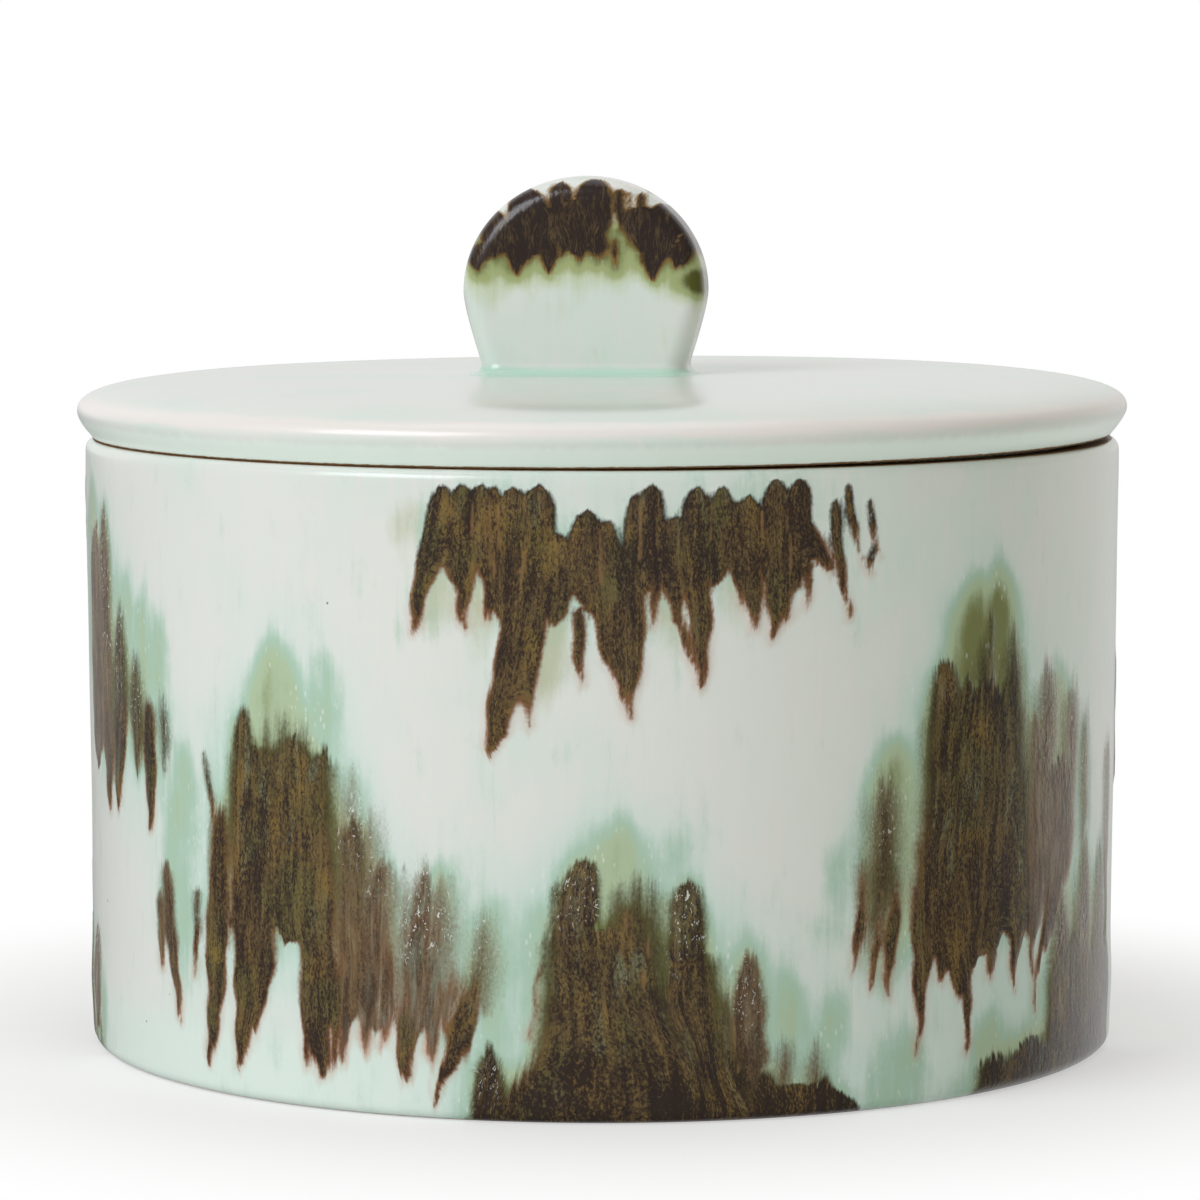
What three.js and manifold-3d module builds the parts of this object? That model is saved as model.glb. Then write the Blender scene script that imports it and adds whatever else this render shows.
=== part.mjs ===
// Lidded stoneware cookie jar: a straight round jar, a slab lid that drops onto its rim, and an upright
// disc knob stuck onto the lid. Millimetres, +Z up. The origin is on the table, under the jar's centre.
import * as THREE from "three";
import { mergeVertices } from "three/addons/utils/BufferGeometryUtils.js";
import loadManifold from "manifold-3d";

// Jar
const RIM_RADIUS = 86.2; // outside of the wall at the rim
const FOOT_RADIUS = 85.4; // outside of the wall at the foot
const JAR_HEIGHT = 101; // table to the flat of the rim
const WALL = 5.6;
const FLOOR = 6.5;
const FLOOR_COVE = 9; // inside rounding between floor and wall
const FOOT_RING = 7; // width of the flat ring that stands on the table
const FOOT_RECESS = 1.8; // how far the underside is turned in behind that ring
const FOOT_EDGE = 2; // rounding of the foot's outside edge
const RIM_EDGE = 1.8; // rounding of the rim's outside edge
const RIM_INSIDE_EDGE = 1.2;

// Lid
const LID_RADIUS = 87.5; // at its widest
const LID_EDGE_HEIGHT = 4.4; // seat to the widest ring
const LID_RISE = 10; // seat to the top of the lid
const LID_SHOULDER = 7.7; // how square the top's curve runs out towards the edge
const LID_CROWN = 2.5; // how full the edge's upper rounding is
const LID_SEAT_OVERLAP = 0.4; // seat reaching out past the start of the rim's rounding
const LID_BEVEL_HEIGHT = 3.1; // where the sloping underside of the edge turns upright
const LID_THICKNESS = 6.2; // at the centre
const CEILING_DROP = 1.1; // fall of the hollow underside from its centre to the ring
const RING_CLEARANCE = 1.2; // play between the locating ring and the inside of the rim
const RING_WIDTH = 4.2;
const RING_DEPTH = 7; // below the seat
const RING_EDGE = 1.4; // rounding of the ring's lower edges
const RING_ROOT = 0.8; // rounding where the ring leaves the seat and the hollow

// Knob
const KNOB_WIDTH = 40.5;
const KNOB_HEIGHT = 33; // lid to the top of the disc
const KNOB_WIDEST_HEIGHT = 14; // lid to the widest line
const KNOB_WAIST = 33.2; // width where it meets the lid
const KNOB_FLANK = 11; // height that sets how full the sides are below the widest line
const KNOB_THICKNESS = 13;
const KNOB_EDGE = 3.6; // rounding all along the disc's edge
const KNOB_FILLET = 2.6; // clay worked into the corner between knob and lid
const KNOB_OFFSET = -2.7; // hand-set, a little to one side of the lid's centre
const LANDING_MARGIN = 2; // flat of the lid past the knob's fillet

// Facets
const TURN_STEPS = 80; // around the jar and the lid
const ARC_STEPS = 4; // along a small rounding
const DOME_STEPS = 12; // across the lid's top
const KNOB_STEPS = 14; // along each curve of the knob's outline

const SEAT_RADIUS = RIM_RADIUS - RIM_EDGE + LID_SEAT_OVERLAP;
const RIM_INSIDE_RADIUS = RIM_RADIUS - WALL;
const QUARTER = Math.PI / 2;

const glaze = new THREE.MeshStandardMaterial({ color: 0xdde5de, roughness: 0.3, metalness: 0 });
const glazeMint = new THREE.MeshStandardMaterial({ color: 0xd6e3dc, roughness: 0.28, metalness: 0 });
const glazeDark = new THREE.MeshStandardMaterial({ color: 0x3a2c24, roughness: 0.25, metalness: 0 });

// A path in radius and height, turned about the Z axis.
function turned(path) {
  const geometry = new THREE.LatheGeometry(path.getPoints(ARC_STEPS / 2), TURN_STEPS);
  return geometry.rotateX(QUARTER);
}

// The jar's half section, from the middle of the underside round the wall to the middle of the floor.
function jarProfile() {
  const floorTop = FOOT_RECESS + FLOOR;
  const ringInside = FOOT_RADIUS - FOOT_EDGE - FOOT_RING;
  const floorRadius = FOOT_RADIUS - WALL;
  const path = new THREE.Path();
  path.moveTo(0, FOOT_RECESS);
  path.lineTo(ringInside - FOOT_RECESS, FOOT_RECESS);
  path.lineTo(ringInside, 0);
  path.lineTo(FOOT_RADIUS - FOOT_EDGE, 0);
  path.absarc(FOOT_RADIUS - FOOT_EDGE, FOOT_EDGE, FOOT_EDGE, -QUARTER, 0);
  path.lineTo(RIM_RADIUS, JAR_HEIGHT - RIM_EDGE);
  path.absarc(RIM_RADIUS - RIM_EDGE, JAR_HEIGHT - RIM_EDGE, RIM_EDGE, 0, QUARTER);
  path.lineTo(RIM_INSIDE_RADIUS + RIM_INSIDE_EDGE, JAR_HEIGHT);
  path.absarc(RIM_INSIDE_RADIUS + RIM_INSIDE_EDGE, JAR_HEIGHT - RIM_INSIDE_EDGE, RIM_INSIDE_EDGE,
    QUARTER, 2 * QUARTER);
  path.lineTo(floorRadius, floorTop + FLOOR_COVE);
  path.absarc(floorRadius - FLOOR_COVE, floorTop + FLOOR_COVE, FLOOR_COVE, 0, -QUARTER, true);
  path.lineTo(0, floorTop);
  return path;
}

// The lid's half section, measured up from its seat: hollow underside, locating ring, seat, edge and top.
function lidProfile() {
  const ceiling = LID_RISE - LID_THICKNESS;
  const ringEdge = ceiling - CEILING_DROP;
  const ringOutside = RIM_INSIDE_RADIUS - RING_CLEARANCE;
  const ringInside = ringOutside - RING_WIDTH;
  const landing = KNOB_WAIST / 2 + KNOB_FILLET + Math.abs(KNOB_OFFSET) + LANDING_MARGIN;
  const path = new THREE.Path();
  path.moveTo(0, ceiling);
  path.quadraticCurveTo(ringInside / 2, ceiling, ringInside - RING_ROOT, ringEdge);
  path.absarc(ringInside - RING_ROOT, ringEdge - RING_ROOT, RING_ROOT, QUARTER, 0, true);
  path.lineTo(ringInside, RING_EDGE - RING_DEPTH);
  path.absarc(ringInside + RING_EDGE, RING_EDGE - RING_DEPTH, RING_EDGE, 2 * QUARTER, 3 * QUARTER);
  path.lineTo(ringOutside - RING_EDGE, -RING_DEPTH);
  path.absarc(ringOutside - RING_EDGE, RING_EDGE - RING_DEPTH, RING_EDGE, -QUARTER, 0);
  path.lineTo(ringOutside, -RING_ROOT);
  path.lineTo(ringOutside, 0);
  path.lineTo(SEAT_RADIUS, 0);
  path.quadraticCurveTo(LID_RADIUS, LID_BEVEL_HEIGHT, LID_RADIUS, LID_EDGE_HEIGHT);
  for (let step = 1; step < DOME_STEPS; step += 1) {
    const turn = QUARTER * step / DOME_STEPS;
    const radius = LID_RADIUS * Math.cos(turn) ** (2 / LID_SHOULDER);
    const height = (LID_RISE - LID_EDGE_HEIGHT) * Math.sin(turn) ** (2 / LID_CROWN);
    path.lineTo(radius, LID_EDGE_HEIGHT + height);
  }
  path.lineTo(landing, LID_RISE);
  path.lineTo(0, LID_RISE);
  return path;
}

// The knob's outline seen from the front, standing on the lid and running on below it by its own rounding.
function knobOutline() {
  const half = KNOB_WIDTH / 2;
  const waist = KNOB_WAIST / 2;
  const spread = (half - waist) / KNOB_FLANK;
  const sunk = KNOB_EDGE + KNOB_FILLET;
  const shape = new THREE.Shape();
  shape.moveTo(waist - spread * sunk, -sunk);
  shape.lineTo(waist, 0);
  shape.quadraticCurveTo(half, KNOB_FLANK, half, KNOB_WIDEST_HEIGHT);
  shape.absellipse(0, KNOB_WIDEST_HEIGHT, half, KNOB_HEIGHT - KNOB_WIDEST_HEIGHT, 0, 2 * QUARTER);
  shape.quadraticCurveTo(-half, KNOB_FLANK, -waist, 0);
  shape.lineTo(-waist + spread * sunk, -sunk);
  return shape;
}

// The disc: that outline as a slab with a rounded edge, standing upright across the Y axis.
function knobSlab() {
  const geometry = new THREE.ExtrudeGeometry(knobOutline(), {
    depth: KNOB_THICKNESS - 2 * KNOB_EDGE,
    curveSegments: KNOB_STEPS,
    bevelSegments: ARC_STEPS,
    bevelThickness: KNOB_EDGE,
    bevelSize: KNOB_EDGE,
    bevelOffset: -KNOB_EDGE,
  });
  geometry.translate(0, 0, KNOB_EDGE - KNOB_THICKNESS / 2);
  return geometry.rotateX(QUARTER);
}

// One level of the knob's fillet: a rectangle with round corners at a height.
function filletRing(halfWidth, halfThickness, corner, height) {
  const ring = [];
  const centres = [[1, 1, 0], [-1, 1, 1], [-1, -1, 2], [1, -1, 3]];
  for (const [sideX, sideY, quarter] of centres) {
    for (let step = 0; step <= ARC_STEPS; step += 1) {
      const turn = QUARTER * (quarter + step / ARC_STEPS);
      ring.push([
        sideX * (halfWidth - corner) + corner * Math.cos(turn),
        sideY * (halfThickness - corner) + corner * Math.sin(turn),
        height,
      ]);
    }
  }
  return ring;
}

// The fillet round the knob's base: hollow-curved levels from the lid up into the slab.
function knobFillet() {
  const spread = (KNOB_WIDTH - KNOB_WAIST) / 2 / KNOB_FLANK;
  const rings = [];
  for (let step = 0; step <= ARC_STEPS + 1; step += 1) {
    const turn = QUARTER * step / ARC_STEPS;
    const height = KNOB_FILLET * (1 - Math.cos(turn));
    const out = KNOB_FILLET * (1 - Math.sin(Math.min(turn, QUARTER)) - Math.max(0, turn - QUARTER));
    const halfWidth = KNOB_WAIST / 2 + spread * height + out;
    rings.push(filletRing(halfWidth, KNOB_THICKNESS / 2 + out, KNOB_EDGE + out, height));
  }
  const count = rings[0].length;
  const positions = rings.flat(2);
  const indices = [];
  for (let level = 0; level + 1 < rings.length; level += 1) {
    for (let i = 0; i < count; i += 1) {
      const a = level * count + i;
      const b = level * count + (i + 1) % count;
      indices.push(a, b, b + count, a, b + count, a + count);
    }
  }
  const top = (rings.length - 1) * count;
  for (let i = 1; i + 1 < count; i += 1) {
    indices.push(0, i + 1, i);
    indices.push(top, top + i, top + i + 1);
  }
  const geometry = new THREE.BufferGeometry();
  geometry.setAttribute("position", new THREE.Float32BufferAttribute(positions, 3));
  geometry.setIndex(indices);
  return geometry;
}

// Solids for joining and cutting.
const manifold = await loadManifold();
manifold.setup();

function solidOf(geometry) {
  const bare = geometry.clone();
  bare.deleteAttribute("normal");
  bare.deleteAttribute("uv");
  const merged = mergeVertices(bare);
  return new manifold.Manifold(new manifold.Mesh({
    numProp: 3,
    vertProperties: new Float32Array(merged.attributes.position.array),
    triVerts: new Uint32Array(merged.index.array),
  }));
}

function geometryOf(solid) {
  const mesh = solid.getMesh();
  const geometry = new THREE.BufferGeometry();
  geometry.setAttribute("position", new THREE.BufferAttribute(mesh.vertProperties, 3));
  geometry.setIndex(new THREE.BufferAttribute(mesh.triVerts, 1));
  geometry.computeVertexNormals();
  return geometry;
}

// The knob: slab and fillet joined, then cut off flat where they stand on the lid.
function knobGeometry() {
  const room = 2 * (KNOB_WIDTH + KNOB_HEIGHT);
  const lidBlock = new THREE.BoxGeometry(room, room, room).translate(0, 0, -room / 2);
  const joined = solidOf(knobSlab()).add(solidOf(knobFillet()));
  return geometryOf(joined.subtract(solidOf(lidBlock)));
}

function piece(name, geometry, material) {
  const mesh = new THREE.Mesh(geometry, material);
  mesh.name = name;
  return mesh;
}

const jar = piece("jar_body", turned(jarProfile()), glaze);
const lidPlate = piece("lid_plate", turned(lidProfile()), glazeMint);
const knob = piece("lid_knob", knobGeometry(), glazeDark);
knob.position.set(KNOB_OFFSET, 0, LID_RISE);

const lid = new THREE.Group();
lid.position.z = JAR_HEIGHT;
lid.add(lidPlate, knob);

const cookieJar = new THREE.Group();
cookieJar.add(jar, lid);

export default cookieJar;
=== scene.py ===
# Looks of the lidded stoneware cookie jar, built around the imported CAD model.
# Shapes are worked out in millimetres and turned into metres when a mesh is made.
import math

import bmesh
import bpy
import numpy as np
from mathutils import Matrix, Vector


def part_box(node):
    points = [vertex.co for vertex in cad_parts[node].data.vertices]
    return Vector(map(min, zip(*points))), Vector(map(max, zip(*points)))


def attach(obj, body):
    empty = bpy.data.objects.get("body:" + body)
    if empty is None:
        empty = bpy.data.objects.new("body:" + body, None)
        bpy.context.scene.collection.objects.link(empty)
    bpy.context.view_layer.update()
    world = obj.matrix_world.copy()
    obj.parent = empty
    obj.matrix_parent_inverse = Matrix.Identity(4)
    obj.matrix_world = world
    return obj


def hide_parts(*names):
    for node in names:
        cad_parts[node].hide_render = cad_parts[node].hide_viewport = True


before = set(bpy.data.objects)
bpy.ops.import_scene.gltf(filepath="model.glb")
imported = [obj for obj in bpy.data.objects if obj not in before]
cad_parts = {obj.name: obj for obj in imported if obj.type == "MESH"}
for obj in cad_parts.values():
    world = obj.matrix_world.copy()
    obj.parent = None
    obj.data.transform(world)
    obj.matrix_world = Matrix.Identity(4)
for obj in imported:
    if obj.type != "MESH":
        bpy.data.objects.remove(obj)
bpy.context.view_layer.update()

MM = 0.001


def box_mm(node):
    """Lowest and highest corner of a CAD node, in millimetres."""
    low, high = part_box(node)
    return np.array(low) / MM, np.array(high) / MM


# Sizes that the frame gives
JAR_HIGH = box_mm("jar_body")[1]
LID_LOW, LID_HIGH = box_mm("lid_plate")
KNOB_LOW, KNOB_HIGH = box_mm("lid_knob")
JAR_HEIGHT = JAR_HIGH[2]
RIM_RADIUS = JAR_HIGH[0]
LID_RADIUS = LID_HIGH[0]
LID_TOP = LID_HIGH[2]
KNOB_HEIGHT = KNOB_HIGH[2] - LID_TOP
KNOB_X = (KNOB_LOW[0] + KNOB_HIGH[0]) / 2
KNOB_HALF = (KNOB_HIGH[0] - KNOB_LOW[0]) / 2

# Jar section
FOOT_RADIUS = 85.4
WALL = 5.6
FLOOR_TOP = 8.3
FLOOR_COVE = 9.0
FOOT_RING = 7.0
FOOT_RECESS = 1.8
FOOT_EDGE = 2.0
RIM_EDGE = 1.8
RIM_INSIDE_EDGE = 1.2
RIM_INSIDE_RADIUS = RIM_RADIUS - WALL

# Lid section, heights above its seat
LID_RISE = LID_TOP - JAR_HEIGHT
LID_EDGE_HEIGHT = 4.4
LID_SHOULDER = 7.7
LID_CROWN = 2.5
LID_BEVEL_HEIGHT = 3.1
LID_THICKNESS = 6.2
CEILING_DROP = 1.1
SEAT_RADIUS = RIM_RADIUS - RIM_EDGE + 0.4
RING_OUTSIDE = RIM_INSIDE_RADIUS - 1.2
RING_INSIDE = RING_OUTSIDE - 4.2
RING_DEPTH = JAR_HEIGHT - LID_LOW[2]
RING_EDGE = 1.4
RING_ROOT = 0.8

# Knob, heights above the lid
KNOB_WIDEST = 14.0
KNOB_WAIST = 16.6
KNOB_FLANK = 11.0
KNOB_THICK = 6.5
KNOB_EDGE = 3.6
KNOB_FILLET = 2.6

# How fine the meshes are
COLUMNS = 800
WALL_STEP = 1.25
PLAIN_STEP = 8.0
STRAIGHT_STEP = 30.0
EDGE_ROWS = 13
LID_STEP = 1.6
ARC_STEP = 0.4

# Where the photograph was taken from
PHOTO_TURN = 7.0
CAMERA_REACH = 931.0
CAMERA_HEIGHT = 161.0
CAMERA_PITCH = 5.39
CAMERA_ASIDE = -0.37
CAMERA_LENS = 167.0
SENSOR = 36.0

DEGREE_MM = math.radians(1) * RIM_RADIUS

# Light from the white surroundings
AMBIENT = (0.44, 0.42, 0.37, 1.0)

# Relief of the glaze and the clay
GLAZE_THICK = 0.22
BEAD_THICK = 0.22
FOOT_ROLL = 0.3
FOOT_ROLL_HEIGHT = 11
CLAY_WAVE = 0.12
LID_WAVE = 0.1
LID_WARP = 0.8
KNOB_PILLOW = 0.35

# Depth taken off where there is no dark glaze
UNGLAZED = 20

# How the dark glaze flows
MIN_SOFT = 0.22
DEEP = 1.5
FULL = 1.22
FLOW_TOGETHER = 0.45
FAR = -12.0
SHALLOW = 2.0
RAGGED = 1.0
CRISP = 0.3


# Half sections, as points of radius and height

def line(start, end, step):
    """Points from start up to but not including end."""
    start = np.array(start, float)
    end = np.array(end, float)
    count = max(1, round(np.linalg.norm(end - start) / step))
    along = np.arange(count)[:, None] / count
    return start + (end - start) * along


def arc(centre, radius, start, end):
    """Points along a rounding, from one angle in degrees up to but not including the other."""
    count = max(3, round(abs(math.radians(end - start)) * radius / ARC_STEP))
    turn = np.radians(start + (end - start) * np.arange(count) / count)
    return np.array(centre) + radius * np.stack([np.cos(turn), np.sin(turn)], 1)


def curve(start, control, end, step):
    """Points along a curve pulled towards one control point, without its end."""
    count = max(4, round(math.dist(start, end) / step))
    t = np.arange(count)[:, None] / count
    start, control, end = np.array(start), np.array(control), np.array(end)
    return (1 - t) ** 2 * start + 2 * t * (1 - t) * control + t ** 2 * end


def jar_section():
    """Underside, outer wall, the rim's flat with its inside edge, and inside."""
    ring_inside = FOOT_RADIUS - FOOT_EDGE - FOOT_RING
    foot = FOOT_RADIUS - FOOT_EDGE
    rim = RIM_RADIUS - RIM_EDGE
    lip = RIM_INSIDE_RADIUS + RIM_INSIDE_EDGE
    floor_radius = FOOT_RADIUS - WALL
    under = [
        line((0, FOOT_RECESS), (ring_inside - FOOT_RECESS, FOOT_RECESS), STRAIGHT_STEP),
        line((ring_inside - FOOT_RECESS, FOOT_RECESS), (ring_inside, 0), 1.0),
        line((ring_inside, 0), (foot, 0), 2.0),
    ]
    wall = [
        arc((foot, FOOT_EDGE), FOOT_EDGE, -90, 0),
        line((FOOT_RADIUS, FOOT_EDGE), (RIM_RADIUS, JAR_HEIGHT - RIM_EDGE), WALL_STEP),
        arc((rim, JAR_HEIGHT - RIM_EDGE), RIM_EDGE, 0, 90),
    ]
    lip_edge = [
        line((rim, JAR_HEIGHT), (lip, JAR_HEIGHT), 1.0),
        arc((lip, JAR_HEIGHT - RIM_INSIDE_EDGE), RIM_INSIDE_EDGE, 90, 180),
    ]
    lip_foot = (RIM_INSIDE_RADIUS, JAR_HEIGHT - RIM_INSIDE_EDGE)
    inside = [
        line(lip_foot, (floor_radius, FLOOR_TOP + FLOOR_COVE), STRAIGHT_STEP),
        arc((floor_radius - FLOOR_COVE, FLOOR_TOP + FLOOR_COVE), FLOOR_COVE, 0, -90)[::4],
        line((floor_radius - FLOOR_COVE, FLOOR_TOP), (0, FLOOR_TOP), STRAIGHT_STEP),
        [(0, FLOOR_TOP)],
    ]
    return [np.vstack(part) for part in (under, wall, lip_edge, inside)]


def lid_section():
    """Underside with its locating ring and seat, then bevel, edge and top, at their heights on the jar."""
    ceiling = LID_RISE - LID_THICKNESS
    root = ceiling - CEILING_DROP
    low = RING_EDGE - RING_DEPTH
    under = [
        curve((0, ceiling), (RING_INSIDE / 2, ceiling), (RING_INSIDE - RING_ROOT, root), PLAIN_STEP),
        arc((RING_INSIDE - RING_ROOT, root - RING_ROOT), RING_ROOT, 90, 0),
        line((RING_INSIDE, root - RING_ROOT), (RING_INSIDE, low), 1.5),
        arc((RING_INSIDE + RING_EDGE, low), RING_EDGE, 180, 270),
        line((RING_INSIDE + RING_EDGE, -RING_DEPTH), (RING_OUTSIDE - RING_EDGE, -RING_DEPTH), 1.0),
        arc((RING_OUTSIDE - RING_EDGE, low), RING_EDGE, -90, 0),
        line((RING_OUTSIDE, low), (RING_OUTSIDE, 0), 1.2),
        line((RING_OUTSIDE, 0), (SEAT_RADIUS, 0), 1.2),
    ]
    turn = np.linspace(0, math.pi / 2, 150)[1:-1]
    dome = np.stack([
        LID_RADIUS * np.cos(turn) ** (2 / LID_SHOULDER),
        LID_EDGE_HEIGHT + (LID_RISE - LID_EDGE_HEIGHT) * np.sin(turn) ** (2 / LID_CROWN),
    ], 1)
    edge = (LID_RADIUS, LID_EDGE_HEIGHT)
    top = [
        curve((SEAT_RADIUS, 0), (LID_RADIUS, LID_BEVEL_HEIGHT), edge, 0.45),
        [edge],
        thinned(dome, LID_STEP),
        [(0, LID_RISE)],
    ]
    lift = np.array([0, JAR_HEIGHT])
    return [np.vstack(part) + lift for part in (under, top)]


def thinned(points, step):
    """Drops points until neighbours are about a step apart, closer where the path turns."""
    kept = [points[0]]
    for before, point in zip(points, points[1:]):
        slope = abs(point[1] - before[1]) / max(1e-6, math.dist(point, before))
        if math.dist(point, kept[-1]) > step * (1 - 0.75 * min(1, 2.5 * slope)):
            kept.append(point)
    return np.array(kept)


# Meshes

def outward(section):
    """Unit normals of a half section that runs anticlockwise round the material."""
    along = np.gradient(section, axis=0)
    along /= np.linalg.norm(along, axis=1)[:, None]
    return np.stack([along[:, 1], -along[:, 0]], 1)


def azimuths():
    """Angle of each mesh column in degrees, 0 towards -Y and growing to the right as seen from there."""
    return np.arange(COLUMNS) * 360 / COLUMNS - 180


def turned_points(section, relief):
    """Points of a turned mesh: a ring for each point of the section off the axis, then the two centres."""
    rings = section[1:-1]
    normal = outward(section)[1:-1]
    turn = np.radians(azimuths())
    radius = rings[:, :1] + normal[:, :1] * relief
    height = rings[:, 1:] + normal[:, 1:] * relief
    points = np.stack([radius * np.sin(turn), -radius * np.cos(turn), height], -1).reshape(-1, 3)
    centres = [(0, 0, section[0, 1]), (0, 0, section[-1, 1])]
    return np.vstack([points, centres])


def turned_faces(rings):
    """Quads between the rings, and a fan of triangles round each centre."""
    here = np.arange(COLUMNS)
    after = (here + 1) % COLUMNS
    faces = []
    for ring in range(rings - 1):
        low = ring * COLUMNS
        high = low + COLUMNS
        faces += np.stack([low + here, low + after, high + after, high + here], 1).tolist()
    bottom = rings * COLUMNS
    last = (rings - 1) * COLUMNS
    faces += [(bottom, int(b), int(a)) for a, b in zip(here, after)]
    faces += [(last + int(a), last + int(b), bottom + 1) for a, b in zip(here, after)]
    return faces


def mesh_piece(name, points, faces):
    """A smooth mesh object from points in millimetres."""
    mesh = bpy.data.meshes.new(name)
    mesh.from_pydata((points * MM).tolist(), [], faces)
    mesh.shade_smooth()
    piece = bpy.data.objects.new(name, mesh)
    bpy.context.collection.objects.link(piece)
    return piece


def paint(piece, **fields):
    """Stores fields on a mesh's points, for its material to read."""
    for name, values in fields.items():
        values = np.asarray(values, np.float32)
        kind, key = ("FLOAT", "value") if values.ndim == 1 else ("FLOAT_VECTOR", "vector")
        layer = piece.data.attributes.new(name, kind, "POINT")
        layer.data.foreach_set(key, values.ravel())


# Flat layouts of the turned meshes, for baking

def disc(x, y, radius):
    """A layout that opens a turned stretch out into a disc."""
    def place(column, side, share):
        turn = 2 * math.pi * (column + side) / COLUMNS
        return x + radius * share * np.sin(turn), y + radius * share * np.cos(turn)
    return place


def strips():
    """A layout of the wall as two long strips, one for each half turn."""
    def place(column, side, share):
        half = COLUMNS // 2
        low = 0.005 + 0.395 * (column // half)
        return 0.005 + 0.99 * (column % half + side) / half, low + 0.385 * share
    return place


def shares(section, reach):
    """For each stretch between the reaches, how far along it each ring is, from 0 to 1."""
    steps = np.linalg.norm(np.diff(section, axis=0), axis=1)
    length = np.concatenate([[0], np.cumsum(steps)])[1:-1]
    ends = [0] + [length[stop] for stop in reach] + [length[-1]]
    return [(length - low) / (high - low) for low, high in zip(ends, ends[1:])]


def lay_out(piece, section, places, reach):
    """Writes the baking layout: each stretch of the section has its own place on the map."""
    along = shares(section, reach)
    along[-1] = 1 - along[-1]
    column = np.arange(COLUMNS)
    rings = len(section) - 2
    corners = []
    for ring in range(rings - 1):
        part = sum(ring >= stop for stop in reach)
        low, high = along[part][ring], along[part][ring + 1]
        quad = [(0, low), (1, low), (1, high), (0, high)]
        spots = [np.stack(np.broadcast_arrays(*places[part](column, side, share)), 1) for side, share in quad]
        corners.append(np.stack(spots, 1).reshape(-1, 2))
    for part, share in ((0, along[0][0]), (-1, along[-1][-1])):
        spots = [np.stack(np.broadcast_arrays(*places[part](column, side, share)), 1) for side in (0, 1)]
        middle = np.broadcast_to(np.stack(places[part](0, 0, 0)), (COLUMNS, 2))
        fan = [middle, spots[1], spots[0]] if part == 0 else [spots[0], spots[1], middle]
        corners.append(np.stack(fan, 1).reshape(-1, 2))
    layer = piece.data.uv_layers.new(name="OFBake")
    layer.data.foreach_set("uv", np.vstack(corners).astype(np.float32).ravel())


# Running glaze: where the dark glaze lies and how it ran

class Run:
    """One run of dark glaze: degrees from the photograph's middle, or knob millimetres, and heights."""

    START, END = 0.0, 1.0
    CROWN = 2.0
    BLUNT = 0.5
    TAPER = 17.0

    def __init__(self, place, top, tip_place, tip, half, rich=1.0):
        self.place = place
        self.top = top
        self.tip_place = tip_place
        self.tip = tip
        self.half = half
        self.rich = rich

    def along(self, height):
        """How far down the run a height is, from 0 at its top to 1 at its tip."""
        return np.clip((self.top - height) / (self.top - self.tip), 0, 1)

    def fall(self, height):
        """How far down its patch a height is: 0 at the crests of the lobes, 1 at the tips of the legs."""
        return self.START + (self.END - self.START) * self.along(height)

    def middle(self, height):
        """Where the run's middle line is, which sways a little."""
        along = self.along(height)
        sway = 0.3 * np.sin(0.31 * height + 7 * self.place) + 0.2 * np.sin(0.83 * height + 3 * self.top)
        return self.place + (self.tip_place - self.place) * along ** 1.3 + sway * along

    def width(self, height):
        """Half the width at a height, from the crown to the narrow tip."""
        crown = 1 - np.clip((self.top - height) / (self.CROWN * self.half), 0, 1)
        taper = min(self.TAPER, 0.5 * (self.top - self.tip))
        narrow = np.clip((height - self.tip) / taper, 0, 1)
        return self.half * (1 - crown ** 2) ** self.BLUNT * (0.12 + 0.88 * narrow ** 0.75)

    def depth(self, across, height):
        """Depth in millimetres inside the run, and less than 0 outside it."""
        beyond = np.maximum(height - self.top, self.tip - height)
        outside = -np.hypot(across, np.maximum(beyond, 0))
        return np.where(beyond > 0, outside, self.width(height) - np.abs(across))


class Lobe(Run):
    """The round top of a run."""

    END = 0.5
    TAPER = 6.0


class Flame(Lobe):
    """A top that thins out upward into a point."""

    CROWN = 3.6
    BLUNT = 0.75


class Body(Run):
    """The broad middle where runs have flowed together."""

    START, END = 0.25, 0.7
    TAPER = 5.0


class Mass(Body):
    """A broad middle with a flat top."""

    CROWN = 0.6


class Bell(Mass):
    """A broad middle that spreads out over the foot."""

    CROWN = 0.3
    FLARE = 16.5
    FADE = 8.4

    def width(self, height):
        return super().width(height) + self.FLARE * np.exp(-np.maximum(height, 0) / self.FADE)


class Knuckle(Lobe):
    """A blunt lobe, close against its neighbours."""

    CROWN = 0.9
    TAPER = 12.0


class Leg(Run):
    """A finger that runs down out of the middle."""

    START = 0.45


class Dome(Run):
    """A green dome, narrow at the top."""

    CROWN = 2.4
    BLUNT = 0.65
    TAPER = 5.0


class Patch:
    """Runs that belong together: how softly their tops fade, in millimetres, and how milky they are."""

    def __init__(self, soft, milk, *runs):
        self.soft = soft
        self.milk = milk
        self.runs = runs


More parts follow.
